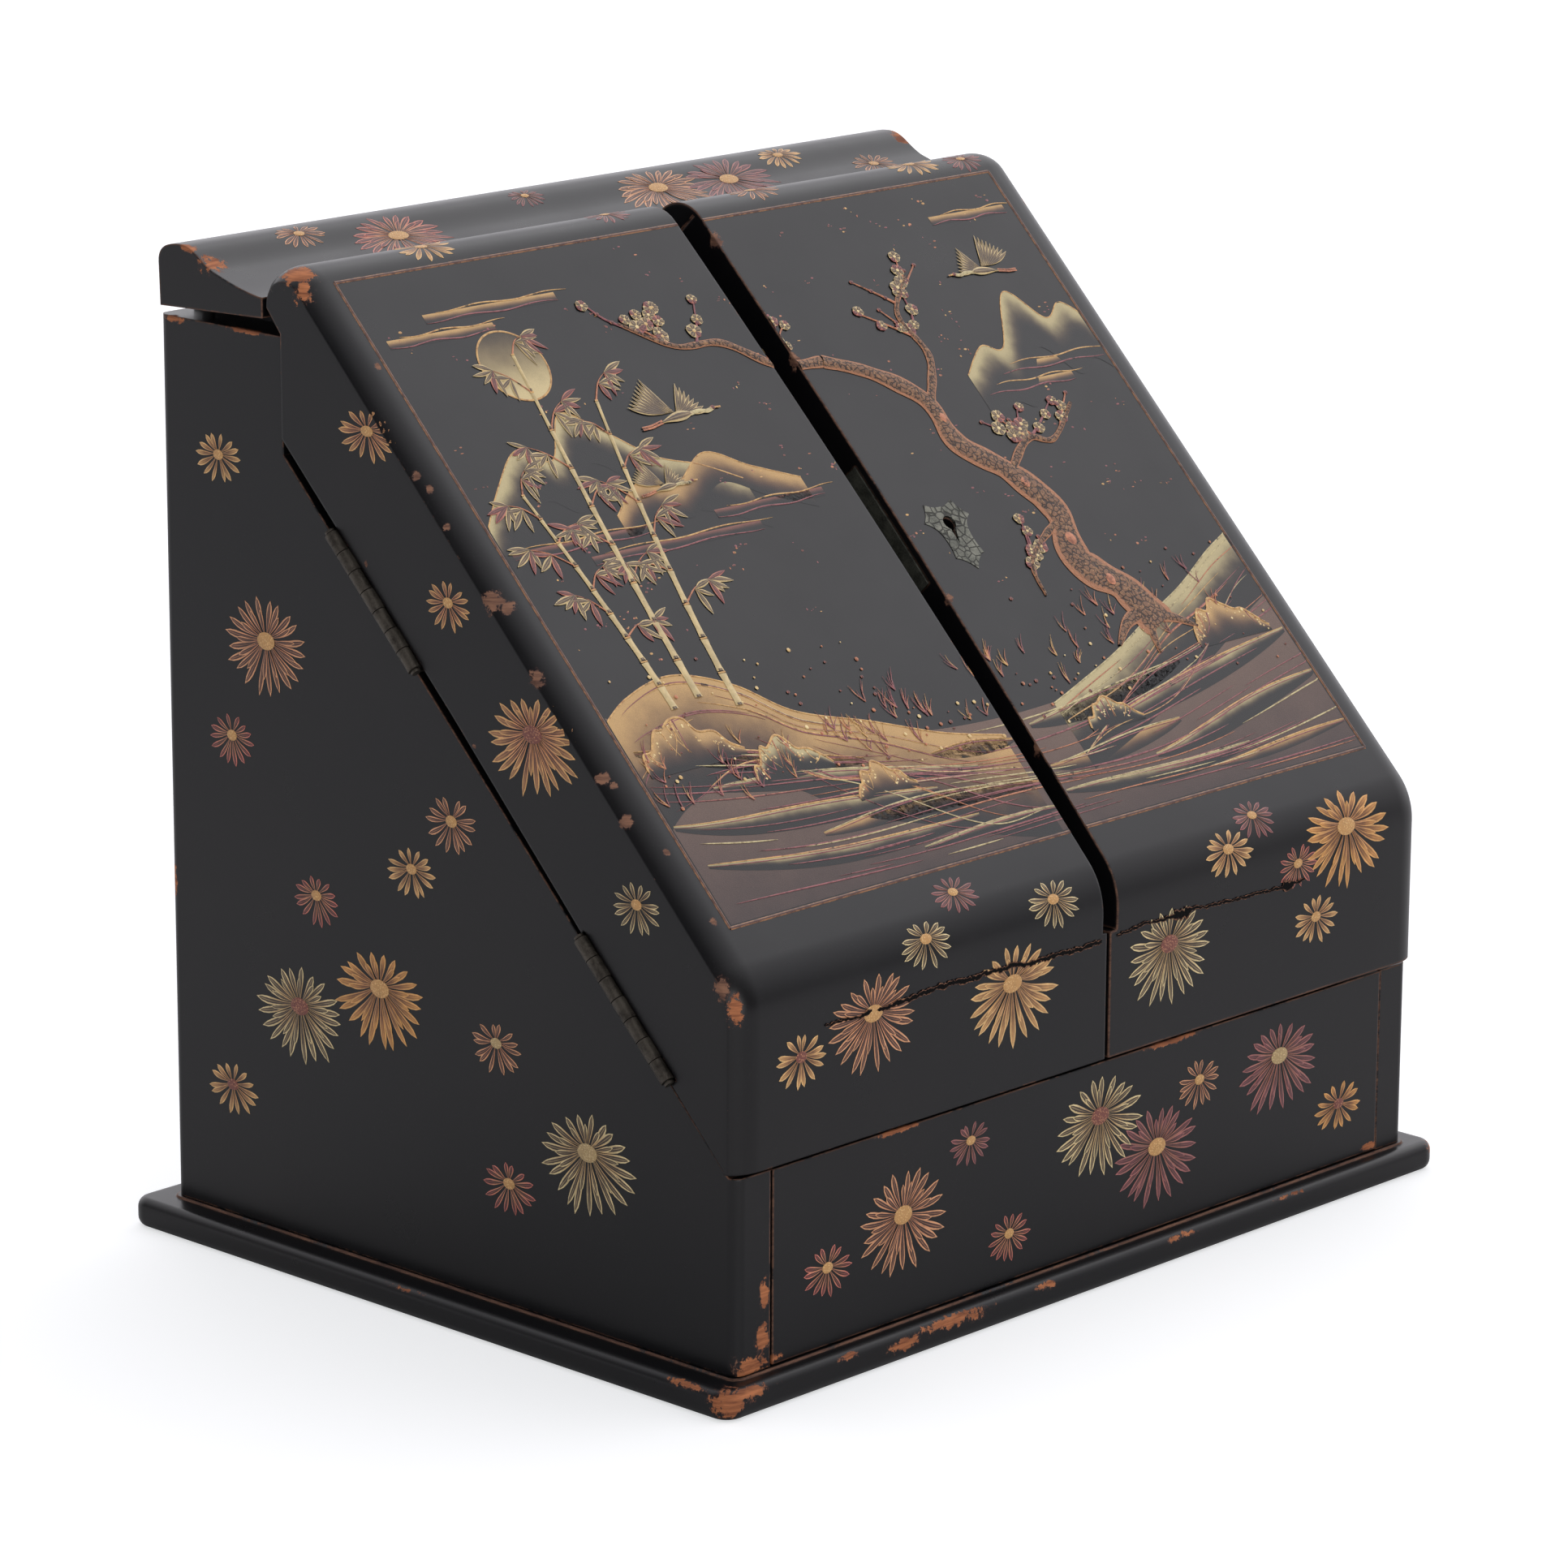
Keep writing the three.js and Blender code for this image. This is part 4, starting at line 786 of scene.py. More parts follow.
def flower(name, body, surface, heart_place, reach, drop, paints, base_lift, limits):
    """A chrysanthemum seen from above its heart: short petals behind, long ones in front."""
    draw = random.Random(name)
    half_width, half_height = reach
    large = half_width > LARGE_FLOWER
    rings = LARGE_RINGS if large else SMALL_RINGS
    heart_share = (0.21, 0.18) if large else (0.22, 0.21)
    heart_radii = (heart_share[0] * half_width, heart_share[1] * half_height)
    spacing = math.tau * math.hypot(half_width, half_height) / math.sqrt(2.0) / rings[0][0]
    made = Ornament(surface, base_lift, limits)
    x0, y0 = heart_place
    for number, shorten, start, half, lift in rings:
        for index in range(number):
            angle = math.tau * (index + start + draw.uniform(-0.24, 0.24)) / number
            length = shorten * draw.uniform(0.9, 1.06)
            cosine = math.cos(angle)
            sine = math.sin(angle)
            base = (x0 + heart_radii[0] * 0.8 * cosine, y0 + heart_radii[1] * 0.8 * sine)
            rim = (x0 + half_width * cosine, y0 - drop + half_height * sine)
            bend = -0.09 * cosine + draw.uniform(-0.05, 0.05)
            width = half * spacing * draw.uniform(0.88, 1.14)
            made.leaf(base, between(base, rim, length), width, 0, bend, lift + 0.02 * (index % 3), 0.7)
    made.disc((x0, y0), heart_radii, 1, 0.16 if large else 0.08, 0.22)
    made.piece(name, paints, body)


# Scattered chrysanthemums: place of the heart, half width and height, drop of their middle, petals,
# and the heart where it isn't gold
SIDE_FLOWERS = (
    (27.7, 264.3, 10.6, 8.1, 1.0, "gold"), (49.0, 206.8, 19.5, 16.2, 1.9, "copper"),
    (31.9, 172.9, 10.5, 8.7, 1.9, "red"), (133.5, 163.2, 11.4, 9.3, 1.5, "copper"),
    (115.2, 144.3, 10.8, 8.2, 1.6, "gold"), (70.9, 127.0, 10.7, 8.2, 2.0, "red"),
    (62.3, 88.3, 20.2, 16.1, 2.9, "pale", "red"), (100.0, 102.0, 20.6, 16.8, 4.2, "orange"),
    (152.8, 95.2, 11.1, 8.2, 1.8, "copper", "pale"), (29.3, 54.8, 12.0, 9.0, 1.7, "gold", "red"),
    (158.2, 50.4, 11.8, 8.7, 1.9, "red"), (193.0, 68.4, 20.5, 16.7, 4.2, "pale", "pale"),
)
CHEEK_FLOWERS = (
    (99.3, 282.4, 12.6, 8.3, 1.5, "tipped"), (134.9, 233.6, 10.2, 8.1, 1.2, "tipped"),
    (171.8, 198.3, 20.1, 16.1, 4.1, "tipped", "red"), (216.3, 153.0, 10.2, 8.3, 1.6, "pale"),
)
RIGHT_SIDE_FLOWERS = (
    (24.0, 228.0, 10.4, 8.1, 1.2, "gold"), (54.0, 184.0, 19.8, 16.2, 3.0, "pale", "red"),
    (30.0, 136.0, 10.6, 8.3, 1.6, "red"), (92.0, 158.0, 10.4, 8.0, 1.5, "copper"),
    (112.0, 114.0, 20.2, 16.4, 3.6, "copper"), (142.0, 130.0, 10.2, 8.0, 1.6, "mauve"),
    (60.0, 74.0, 20.4, 16.6, 3.2, "orange"), (24.0, 58.0, 10.6, 8.4, 1.6, "copper", "red"),
    (98.0, 46.0, 10.8, 8.4, 1.4, "red"), (152.0, 66.0, 11.0, 8.6, 1.8, "gold", "pale"),
    (200.0, 56.0, 19.6, 16.2, 3.8, "gold", "red"),
)
RIGHT_CHEEK_FLOWERS = (
    (84.0, 286.0, 10.6, 8.0, 1.4, "copper"), (136.0, 234.0, 10.4, 8.2, 1.4, "pale"),
    (186.0, 178.0, 19.8, 16.0, 3.6, "tipped", "red"), (236.0, 112.0, 10.4, 8.4, 1.5, "mauve"),
)
# Across and run up the front of the doors
DOOR_FLOWERS = (
    (-60.2, 21.6, 9.7, 6.8, 1.3, "mauve"), (-20.2, 10.2, 11.9, 7.9, 1.7, "pale"),
    (-80.4, 9.6, 11.7, 7.9, 2.0, "pale"), (-106.3, -8.6, 20.3, 15.3, 3.2, "copper"),
    (-41.7, -12.8, 21.2, 16.5, 4.2, "gold"), (-138.5, -15.5, 11.3, 8.9, 1.6, "gold", "red"),
    (84.0, 18.2, 10.1, 7.0, 1.6, "mauve"), (66.4, 9.6, 11.9, 8.1, 1.5, "gold"),
    (100.6, -1.8, 10.2, 7.6, 1.3, "red"), (126.5, 5.8, 22.0, 16.2, 4.2, "orange"),
    (35.0, -15.7, 20.5, 16.7, 4.0, "pale", "red"), (110.8, -22.1, 11.3, 8.3, 1.2, "gold"),
    (-108.3, 286.2, 11.3, 7.6, 1.4, "gold"), (-23.7, 288.0, 9.4, 6.2, 1.2, "mauve"),
    (45.5, 288.0, 10.7, 7.1, 1.3, "copper"), (123.6, 287.0, 11.3, 7.4, 1.4, "gold"),
    (147.0, 284.0, 8.8, 5.9, 1.2, "mauve"),
)
DRAWER_FLOWERS = (
    (-123.8, 36.2, 10.8, 8.7, 1.1, "red"), (-89.4, 45.0, 19.8, 17.1, 2.4, "copper"),
    (-57.9, 62.0, 9.9, 7.3, 1.1, "mauve"), (-39.0, 26.6, 10.1, 8.0, 1.3, "red"),
    (4.6, 55.8, 20.8, 16.7, 3.5, "pale", "red"), (33.4, 38.7, 20.8, 16.7, 3.0, "mauve"),
    (54.6, 56.8, 10.7, 8.3, 1.5, "copper"), (96.0, 55.8, 20.2, 15.7, 4.3, "mauve", "pale"),
    (128.4, 31.8, 12.3, 8.6, 0.8, "orange", "red"),
)
# Across and run down the moulding of the flap
FLAP_FLOWERS = (
    (-121.0, 6.0, 10.1, 6.2, -1.0, "copper"), (-84.0, 14.4, 20.1, 12.9, -2.0, "red"),
    (-19.0, 5.4, 7.7, 5.1, -1.0, "mauve"), (38.7, 12.0, 20.2, 13.1, -3.0, "copper"),
    (72.0, 13.5, 20.2, 13.7, -2.4, "mauve"), (103.5, 5.6, 10.1, 6.2, -1.0, "gold"),
    (141.0, 18.0, 10.1, 7.1, -1.2, "copper"),
)


def meeting_limits(side, outer=164.0, clear=0.1, shift=0.0):
    """Ornament on a door ends a little clear of its meeting edge and of its outer edge."""
    def limits(run):
        edge = meeting_edge(side, run + shift) + side * clear
        return sorted((edge, side * outer))
    return limits


def scatter(prefix, rows, body, surface, base_lift=PAINT, limits=None):
    for index, (across, up, half_width, half_height, drop, petals, *heart) in enumerate(rows):
        paints = [PETALS[petals], HEARTS[heart[0] if heart else "gold"]]
        name = f"{prefix}_flower_{index + 1}"
        flower(name, body, surface, (across, up), (half_width, half_height), drop, paints, base_lift, limits)


scatter("left_side", SIDE_FLOWERS, "case", functools.partial(side_board, -1))
scatter("left_cheek", CHEEK_FLOWERS, "left_door", functools.partial(cheek, -1), PAINT, cheek_limits)
scatter("right_side", RIGHT_SIDE_FLOWERS, "case", functools.partial(side_board, 1))
scatter("right_cheek", RIGHT_CHEEK_FLOWERS, "right_door", functools.partial(cheek, 1), PAINT, cheek_limits)
scatter("drawer", DRAWER_FLOWERS, "drawer", drawer_face)
scatter("flap", FLAP_FLOWERS, "top_flap", flap_top)
for side, word in SIDES.items():
    rows = [row for row in DOOR_FLOWERS if row[0] * side > 0]
    scatter(f"{word}_door", rows, f"{word}_door", door_front, COAT + PAINT, meeting_limits(side))


# The frame round the picture: a low double fillet of gold with a red core, open at the meeting gap
def fillet_paint():
    graph = Paint("frame_fillet")
    across = graph.strip()[0]
    wear = graph.noise(420.0, 4.0, 0.65)
    edge = graph.blend(graph.step(wear, 0.35, 0.62), srgb(92, 62, 50), srgb(158, 112, 76))
    colour = graph.blend(graph.step(across, 0.42, 0.26), edge, srgb(74, 38, 34))
    gone = graph.step(graph.noise(95.0, 4.0, 0.7), 0.6, 0.68, 0.0, 0.8)
    return graph.finish(graph.blend(gone, colour, srgb(46, 38, 40)), 0.42)


FRAME_FOOT = 21.5
FRAME_TOP = 267.0
FRAME_SIDE = 154.0
FRAME_HALF_WIDTH = 0.6
PICTURE_LIFT = 0.02
fillet = fillet_paint()
for side, word in SIDES.items():
    limits = meeting_limits(side, DOOR_HALF, 0.15, SLOPE_SHIFT)
    made = Ornament(slope_front, COAT + PICTURE_LIFT, limits)
    inner = -side * 4.0
    outer = side * FRAME_SIDE
    foot = straight((inner, FRAME_FOOT), (outer, FRAME_FOOT), 80)
    made.ribbon(foot, FRAME_HALF_WIDTH + 0.02, 0, 0.0, 0.25)
    made.ribbon(straight((inner, FRAME_TOP), (outer, FRAME_TOP), 80), FRAME_HALF_WIDTH, 0, 0.0, 0.25)
    made.ribbon(straight((outer, FRAME_FOOT), (outer, FRAME_TOP), 80), FRAME_HALF_WIDTH, 0, 0.02, 0.25)
    made.piece(f"{word}_picture_frame", [fillet], f"{word}_door")


# The crack along the joint of apron and slope board: a ragged line with chips of ground coat; its near-black
# core is painted shade inside the open crack
def crack_paint():
    graph = Paint("crack")
    across = graph.strip()[0]
    rough = graph.noise(700.0, 5.0, 0.7)
    ragged = graph.times(rough, 0.9, graph.less(across, 0.45))
    brown = graph.blend(graph.step(rough, 0.35, 0.7), srgb(70, 52, 48), srgb(150, 108, 84))
    # Near-black core with little reflection: painted shade inside the open crack; the brown is ground coat
    # and wood in its chips
    colour = graph.blend(graph.step(ragged, 0.8, 0.64), brown, srgb(5, 4, 4))
    return graph.finish(colour, 0.7, rough, 0.6, 0.4, **{"Specular IOR Level": 0.1})


crack_material = crack_paint()
CRACK_RUN = 115.9 - CORNER_FOOT
CRACK_LIFT = 0.34


def crack(side, start, end, seed, strong):
    """A ragged line from start to end across, in mm; strong is its share of full width at a place."""
    draw = random.Random(seed)
    made = Ornament(door_front, COAT + CRACK_LIFT, meeting_limits(side))
    count = int(abs(end - start) / 0.7)
    wave = 0.0
    line = []
    thick = []
    for index in range(count + 1):
        wave = 0.8 * wave + draw.uniform(-0.32, 0.32)
        across = start + (end - start) * index / count
        line.append((across, CRACK_RUN + wave + 0.9 * math.sin(across * 0.06 + 5.6)))
        thick.append(max(0.2, draw.uniform(0.55, 1.35) * strong(across)))
    made.ribbon(line, lambda share: thick[min(int(share * count), count)], 0, 0.0, 0.05)
    made.piece(f"{SIDES[side]}_apron_crack", [crack_material], f"{SIDES[side]}_door")


crack(-1, 1.0, -128.0, "left crack", lambda x: 0.9 if x > -112 else 0.5)
crack(1, 9.0, 104.0, "right crack", lambda x: 1.7 if 37 < x < 45 or 93 < x < 98 else 0.55)


# Paints of the picture
def line_paint(name, bright, dark):
    """A raised stroke, rubbed here and there."""
    graph = Paint(name)
    wear = graph.noise(520.0, 4.0, 0.7)
    colour = graph.blend(graph.step(wear, 0.3, 0.6), srgb(*dark), srgb(*bright))
    gone = graph.step(graph.noise(170.0, 4.0, 0.7), 0.6, 0.68, 0.0, 0.85)
    return graph.finish(graph.blend(gone, colour, LACQUER_BLACK), 0.4, wear, IOR=LACQUER_IOR)


def dust_paint(name, near, far, reach, top=1.0, speckle=0.55):
    """Gold dust, dense at the upper edge of a field and thinning out below it."""
    graph = Paint(name)
    down = graph.strip()[1]
    cloud = graph.noise(55.0, 3.0, 0.6)
    fine = graph.noise(3200.0, 2.0, 0.5)
    drift = graph.times(cloud, 0.5, graph.less(down, 0.25))
    density = graph.step(drift, 0.0, reach, top, 0.0)
    mask = graph.times(graph.less(fine, 0.5), graph.times(density, speckle), density)
    mask = graph.math("MULTIPLY", mask, 1.0, clamp=True)
    gold = graph.blend(graph.step(drift, 0.05, reach * 0.8), srgb(*near), srgb(*far))
    colour = graph.blend(mask, LACQUER_BLACK, gold)
    return graph.finish(colour, graph.mix(mask, 0.3, 0.46), fine, 0.15, IOR=LACQUER_IOR)


def bark_paint(name):
    graph = Paint(name)
    across = graph.strip()[0]
    grain = graph.noise(620.0, 5.0, 0.75)
    plate = graph.step(graph.cells(520.0, "DISTANCE_TO_EDGE"), 0.03, 0.16)
    rim = graph.step(graph.times(grain, 0.3, graph.less(across, 0.15)), 0.68, 0.8)
    inside = graph.blend(plate, srgb(56, 44, 40), srgb(134, 98, 74))
    inside = graph.blend(graph.step(grain, 0.5, 0.66), inside, srgb(176, 132, 94))
    colour = graph.blend(rim, inside, srgb(182, 126, 92))
    return graph.finish(colour, 0.5, graph.times(plate, 0.6, grain), 0.8, IOR=LACQUER_IOR)


def flake_paint(name):
    graph = Paint(name)
    tone = graph.noise(260.0, 2.0, 0.5)
    colour = graph.blend(graph.step(tone, 0.35, 0.65), srgb(214, 176, 116), srgb(246, 222, 164))
    return graph.finish(colour, 0.34, IOR=LACQUER_IOR)


PICTURE_PAINTS = [
    line_paint("line_gold", (222, 178, 114), (160, 112, 70)),
    line_paint("line_pale", (212, 196, 146), (150, 130, 96)),
    line_paint("line_mauve", (158, 96, 98), (110, 66, 70)),
    dust_paint("dust_warm", (206, 166, 110), (126, 88, 70), 0.95),
    dust_paint("dust_pale", (200, 184, 138), (112, 92, 76), 0.62),
    bark_paint("bark"),
    petal_paint("leaf_pale", (208, 180, 124), (214, 190, 138), (84, 66, 54), (120, 96, 70)),
    petal_paint("leaf_red", (190, 120, 96), (172, 100, 90), (96, 54, 54), (110, 60, 60)),
    dust_paint("dust_moon", (216, 196, 146), (150, 126, 92), 1.3, 1.0, 0.35),
    flake_paint("gold_flakes"),
    line_paint("line_copper", (204, 134, 98), (138, 82, 62)),
    dust_paint("dust_red", (150, 98, 86), (84, 56, 56), 0.8, 0.85),
    dust_paint("dust_ground", (124, 100, 88), (92, 70, 70), 2.0, 0.84, 0.9),
]
(
    GOLD, PALE, MAUVE, WARM_DUST, PALE_DUST, BARK, LEAF, RED_LEAF, MOON, FLAKE, COPPER, RED_DUST, GROUND,
) = range(len(PICTURE_PAINTS))


def curve(places, count):
    """A smooth line through places."""
    made = []
    last = len(places) - 1
    for index in range(count + 1):
        spot = index / count * last
        step = min(int(spot), last - 1)
        share = spot - step
        p0 = places[max(step - 1, 0)]
        p1 = places[step]
        p2 = places[step + 1]
        p3 = places[min(step + 2, last)]
        made.append(tuple(
            0.5 * (2 * p1[axis] + (p2[axis] - p0[axis]) * share
                   + (2 * p0[axis] - 5 * p1[axis] + 4 * p2[axis] - p3[axis]) * share ** 2
                   + (3 * p1[axis] - p0[axis] - 3 * p2[axis] + p3[axis]) * share ** 3)
            for axis in (0, 1)
        ))
    return made


def moved(line, rise):
    return [(x, y + rise) for x, y in line]


def polar(place, length, angle, squash=1.0):
    return place[0] + length * math.cos(angle), place[1] + length * squash * math.sin(angle)


def tapered(half):
    end = 0.15
    return lambda share: half * (end + (1.0 - end) * math.sin(math.pi * min(share, 0.999)) ** 0.5)


def brushed(half, end=0.2):
    return lambda share: half * (1.0 - (1.0 - end) * share)


def flared(half):
    return lambda share: half * (1.0 + 0.22 * abs(2 * share - 1) ** 4)


def flow(x, share):
    """Height of a water line at a place across: share 1 is the shore, 0 the foot of the picture."""
    shore = 66.0 + 0.00125 * (x - 10.0) ** 2
    foot = FRAME_FOOT + 1.3
    wave = 2.6 * math.sin(0.034 * x + 6.0 * share) * math.sin(math.pi * share)
    return foot + share * (shore - foot) + wave


def flow_line(start, end, share, drift=0.0):
    count = max(8, int(abs(end - start) / 3))
    line = []
    for step in range(count + 1):
        part = step / count
        x = start + (end - start) * part
        line.append((x, flow(x, share + drift * math.sin(math.pi * part))))
    return line


# Crests of the water: from, to, share of the way up, depth, steepness
CRESTS = (
    (-150, -62, 0.84, 8.0, 0.05), (-128, -18, 0.68, 7.5, 0.06), (-152, -40, 0.5, 8.0, 0.05),
    (-96, 4, 0.4, 6.5, 0.06), (-148, -30, 0.27, 6.0, 0.03), (-60, 8, 0.17, 3.5, 0.03),
    (-34, 3, 0.84, 6.0, 0.05), (14, 96, 0.9, 8.0, 0.05), (40, 152, 0.72, 8.5, 0.05),
    (12, 80, 0.56, 7.0, 0.06), (60, 154, 0.42, 7.5, 0.05), (12, 104, 0.26, 6.0, 0.03),
    (84, 154, 0.16, 4.0, 0.03),
)


def stream(made, draw):
    """Water that runs from bank to bank along the foot of the picture."""
    shore = flow_line(-156, 156, 1.0)
    made.band(shore, [(x, FRAME_FOOT + 1.0) for x, y in shore], GROUND, 0.0, 10)
    for index, (start, end, share, depth, steep) in enumerate(CRESTS):
        top = flow_line(start, end, share, steep)
        last = len(top) - 1
        foot = []
        for step, (x, y) in enumerate(top):
            thick = depth * math.sin(math.pi * (0.04 + 0.92 * step / last)) ** 0.7
            foot.append((x, max(y - thick, FRAME_FOOT + 1.1)))
        made.band(top, foot, PALE_DUST if index % 3 else WARM_DUST, 0.02 + 0.01 * (index % 3))
        made.ribbon(top, tapered(0.3), PALE if index % 2 else GOLD, 0.09, 0.08)
        made.ribbon(moved(top, -0.9), tapered(0.2), MAUVE, 0.1, 0.05)
    for index in range(84):
        share = draw.uniform(0.03, 0.97)
        start = draw.uniform(-154, 120)
        end = start + draw.uniform(24, 84)
        paint = draw.choice((MAUVE, MAUVE, MAUVE, PALE, COPPER))
        made.ribbon(flow_line(start, end, share), tapered(draw.uniform(0.15, 0.28)), paint, 0.12, 0.05)


def bank(made, draw, places, depth, dust, edge, lift, lines, pitch):
    """A bank: dust below its upper edge, and fine lines that follow the edge."""
    top = curve(places, 80)
    made.band(top, moved(top, -depth), dust, lift, 10)
    made.ribbon(top, 0.3, edge, 0.1, 0.1)
    last = len(top) - 1
    for level in range(1, lines + 1):
        for part in range(3):
            start = draw.randint(0, last - 24)
            end = min(start + draw.randint(14, 46), last)
            drift = draw.uniform(-0.4, 0.4)
            line = []
            for x, y in top[start:end + 1]:
                fall = level * pitch * (1.0 + 0.16 * math.sin(0.07 * x + level))
                line.append((x, max(y - fall + drift, FRAME_FOOT + 1.4)))
            paint = draw.choice((MAUVE, MAUVE, COPPER, PALE, GOLD))
            made.ribbon(line, tapered(draw.uniform(0.14, 0.26)), paint, 0.12, 0.05)


ROCK = (
    (-1.0, 0.0), (-0.86, 0.34), (-0.7, 0.4), (-0.5, 0.78), (-0.3, 0.74), (-0.05, 1.0), (0.18, 0.86),
    (0.36, 0.6), (0.6, 0.52), (0.8, 0.22), (1.0, 0.0),
)


def rock(made, draw, x, y, size, paint):
    """A rock: a faceted outline with dust below its edge, hatching and square flakes of gold."""
    places = []
    for a, b in ROCK:
        px = x + size * (a + draw.uniform(-0.05, 0.05))
        places.append((px, y + size * 0.8 * b * draw.uniform(0.92, 1.06)))
    top = curve(places, 60)
    made.band(top, [(px, y - size * 0.12) for px, py in top], paint, 0.12, 8, 0.1)
    made.ribbon(top, 0.42, GOLD, 0.2, 0.12)
    for index in range(7):
        px, py = top[int(draw.uniform(0.1, 0.9) * 60)]
        bend = draw.uniform(-0.3, 0.3) * size
        places = [(px, py - 0.6), (px + bend * 0.3, y + (py - y) * 0.55), (px + bend, y + (py - y) * 0.2)]
        made.ribbon(curve(places, 12), brushed(0.3), draw.choice((COPPER, GOLD, MAUVE)), 0.22, 0.06)
    for index in range(34):
        px, py = top[int(draw.uniform(0.05, 0.95) * 60)]
        spot = (px + draw.uniform(-0.6, 0.6), py - draw.uniform(0.8, 5.5))
        if spot[1] > y:
            half = draw.uniform(0.28, 0.55)
            made.disc(spot, (half, half), FLAKE, 0.24, 0.05, 4)


def bamboo(made, draw, x, y, height, lean):
    """A bamboo culm in joints, with sprays of pointed leaves."""
    joints = 9
    last = (x, y)
    for index in range(joints):
        share = (index + 1) / joints
        spot = (x + lean * share ** 1.5, y + height * share)
        half = 1.45 - 0.85 * share
        low = (last[0] + (spot[0] - last[0]) * 0.05, last[1] + 0.5)
        made.ribbon(straight(low, (spot[0], spot[1] - 0.5), 6), flared(half), LEAF, 0.16, 0.3)
        node = half * 1.15
        made.ribbon([(spot[0] - node, spot[1]), (spot[0] + node, spot[1])], 0.3, GOLD, 0.22, 0.1)
        if index > 1:
            side = -1 if index % 2 else 1
            reach = draw.uniform(9, 17) * (1.15 - 0.5 * share)
            end = (spot[0] + side * reach, spot[1] + draw.uniform(4, 11))
            x_middle, y_middle = between(spot, end, 0.5)
            twig = curve((spot, (x_middle, y_middle + 1.5), end), 10)
            made.ribbon(twig, brushed(0.36), COPPER, 0.2, 0.1)
            spray(made, draw, end, side, 5)
            spray(made, draw, (x_middle, y_middle + 1.2), side, 3)
        last = spot


def spray(made, draw, place, side, count):
    for index in range(count):
        fan = -100 + 130 * (index + 0.5) / count
        angle = math.radians(fan if side > 0 else 180 - fan) + draw.uniform(-0.15, 0.15)
        tip = polar(place, draw.uniform(6.5, 10.5), angle)
        paint = draw.choice((LEAF, LEAF, RED_LEAF))
        half = draw.uniform(0.85, 1.25)
        made.leaf(place, tip, half, paint, draw.uniform(-0.08, 0.08), 0.24, 0.45, 0.1)


def blossom(made, draw, place, size):
    """A plum blossom of five round petals."""
    start = draw.uniform(0, math.tau)
    for index in range(5):
        tip = polar(place, size, start + math.tau * index / 5, 0.86)
        made.leaf(place, tip, size * 0.5, draw.choice((LEAF, LEAF, RED_LEAF)), 0.0, 0.36, 0.7, 0.14, 5)
    made.disc(place, (size * 0.26, size * 0.23), FLAKE, 0.44, 0.15, 10)


def plum_branch(made, draw, places, half, end, twigs):
    line = curve(places, 60)
    thin = brushed(half, end / half)
    made.ribbon(line, lambda share: thin(share) * (1.0 + 0.08 * math.sin(share * 41)), BARK, 0.18, 0.5)
    for index in range(twigs):
        x, y = line[int(draw.uniform(0.25, 0.98) * 60)]
        angle = math.radians(draw.choice((draw.uniform(35, 75), draw.uniform(105, 150))))
        tip = polar((x, y), draw.uniform(11, 24), angle, 0.9)
        middle = ((x + tip[0]) / 2 + draw.uniform(-2, 2), (y + tip[1]) / 2 - 1.0)
        twig = curve([(x, y), middle, tip], 14)
        made.ribbon(twig, brushed(0.62, 0.4), draw.choice((MAUVE, COPPER)), 0.24, 0.2)
        for px, py in (twig[5], twig[9], twig[14]):
            if draw.random() < 0.75:
                spot = (px + draw.uniform(-1.2, 1.2), py + draw.uniform(-1.2, 1.2))
                blossom(made, draw, spot, draw.uniform(2.2, 3.4))
            else:
                made.disc((px, py), (0.9, 0.8), RED_LEAF, 0.3, 0.3, 8)


TRUNK = ((98, 84), (92, 100), (80, 114), (84, 134), (74, 152), (60, 166), (58, 184), (42, 198), (24, 206))
# Places, half width at the start and the end, and number of twigs
BRANCHES = (
    (((24, 206), (4, 208), (-14, 220), (-34, 222), (-52, 234)), 2.3, 0.7, 9),
    (((59, 182), (72, 200), (70, 218), (84, 232)), 2.0, 0.6, 7),
    (((74, 150), (92, 162), (104, 160), (122, 172)), 1.9, 0.6, 6),
    (((82, 130), (60, 118), (56, 104)), 1.6, 0.5, 3),
)


def plum_tree(made, draw):
    """An old plum on the right bank that leans across the gap."""
    def thick(share):
        return 8.6 * (1.0 - 0.72 * share) * (1.0 + 0.1 * math.sin(share * 33) + 0.05 * math.sin(share * 71))

    made.ribbon(curve(TRUNK, 110), thick, BARK, 0.16, 0.8)
    for x, y, end in ((92, 90, (74, 80)), (98, 88, (114, 80)), (95, 86, (90, 74))):
        root = curve([(x, y), ((x + end[0]) / 2, y - 3), end], 20)
        made.ribbon(root, brushed(3.4), BARK, 0.17, 0.5)
    for x, y, size in ((82, 122, 2.1), (78, 146, 1.8), (60, 176, 1.5), (88, 104, 1.9)):
        made.disc((x, y), (size, size * 1.25), COPPER, 0.9, 0.2, 12)
    for places, half, end, twigs in BRANCHES:
        plum_branch(made, draw, places, half, end, twigs)


# Ridges of the hills, with the depth of the dust below them
HILLS = (
    (((-156, 168), (-140, 184), (-124, 196), (-112, 190), (-98, 206), (-84, 196), (-70, 184), (-54, 178),
      (-40, 170)), 20.0, PALE_DUST),
    (((-100, 166), (-84, 176), (-70, 172), (-50, 182), (-34, 174), (-16, 166)), 12.0, WARM_DUST),
    (((84, 190), (98, 200), (108, 198), (124, 219), (136, 206), (147, 211), (156, 202)), 24.0, PALE_DUST),
)
# Bars of mist: start and length
MIST = (
    (-150, 158, 60), (-120, 151, 76), (-60, 158, 50), (100, 188, 52), (88, 181, 44), (-148, 240, 46),
    (-128, 247, 58), (112, 250, 38),
)


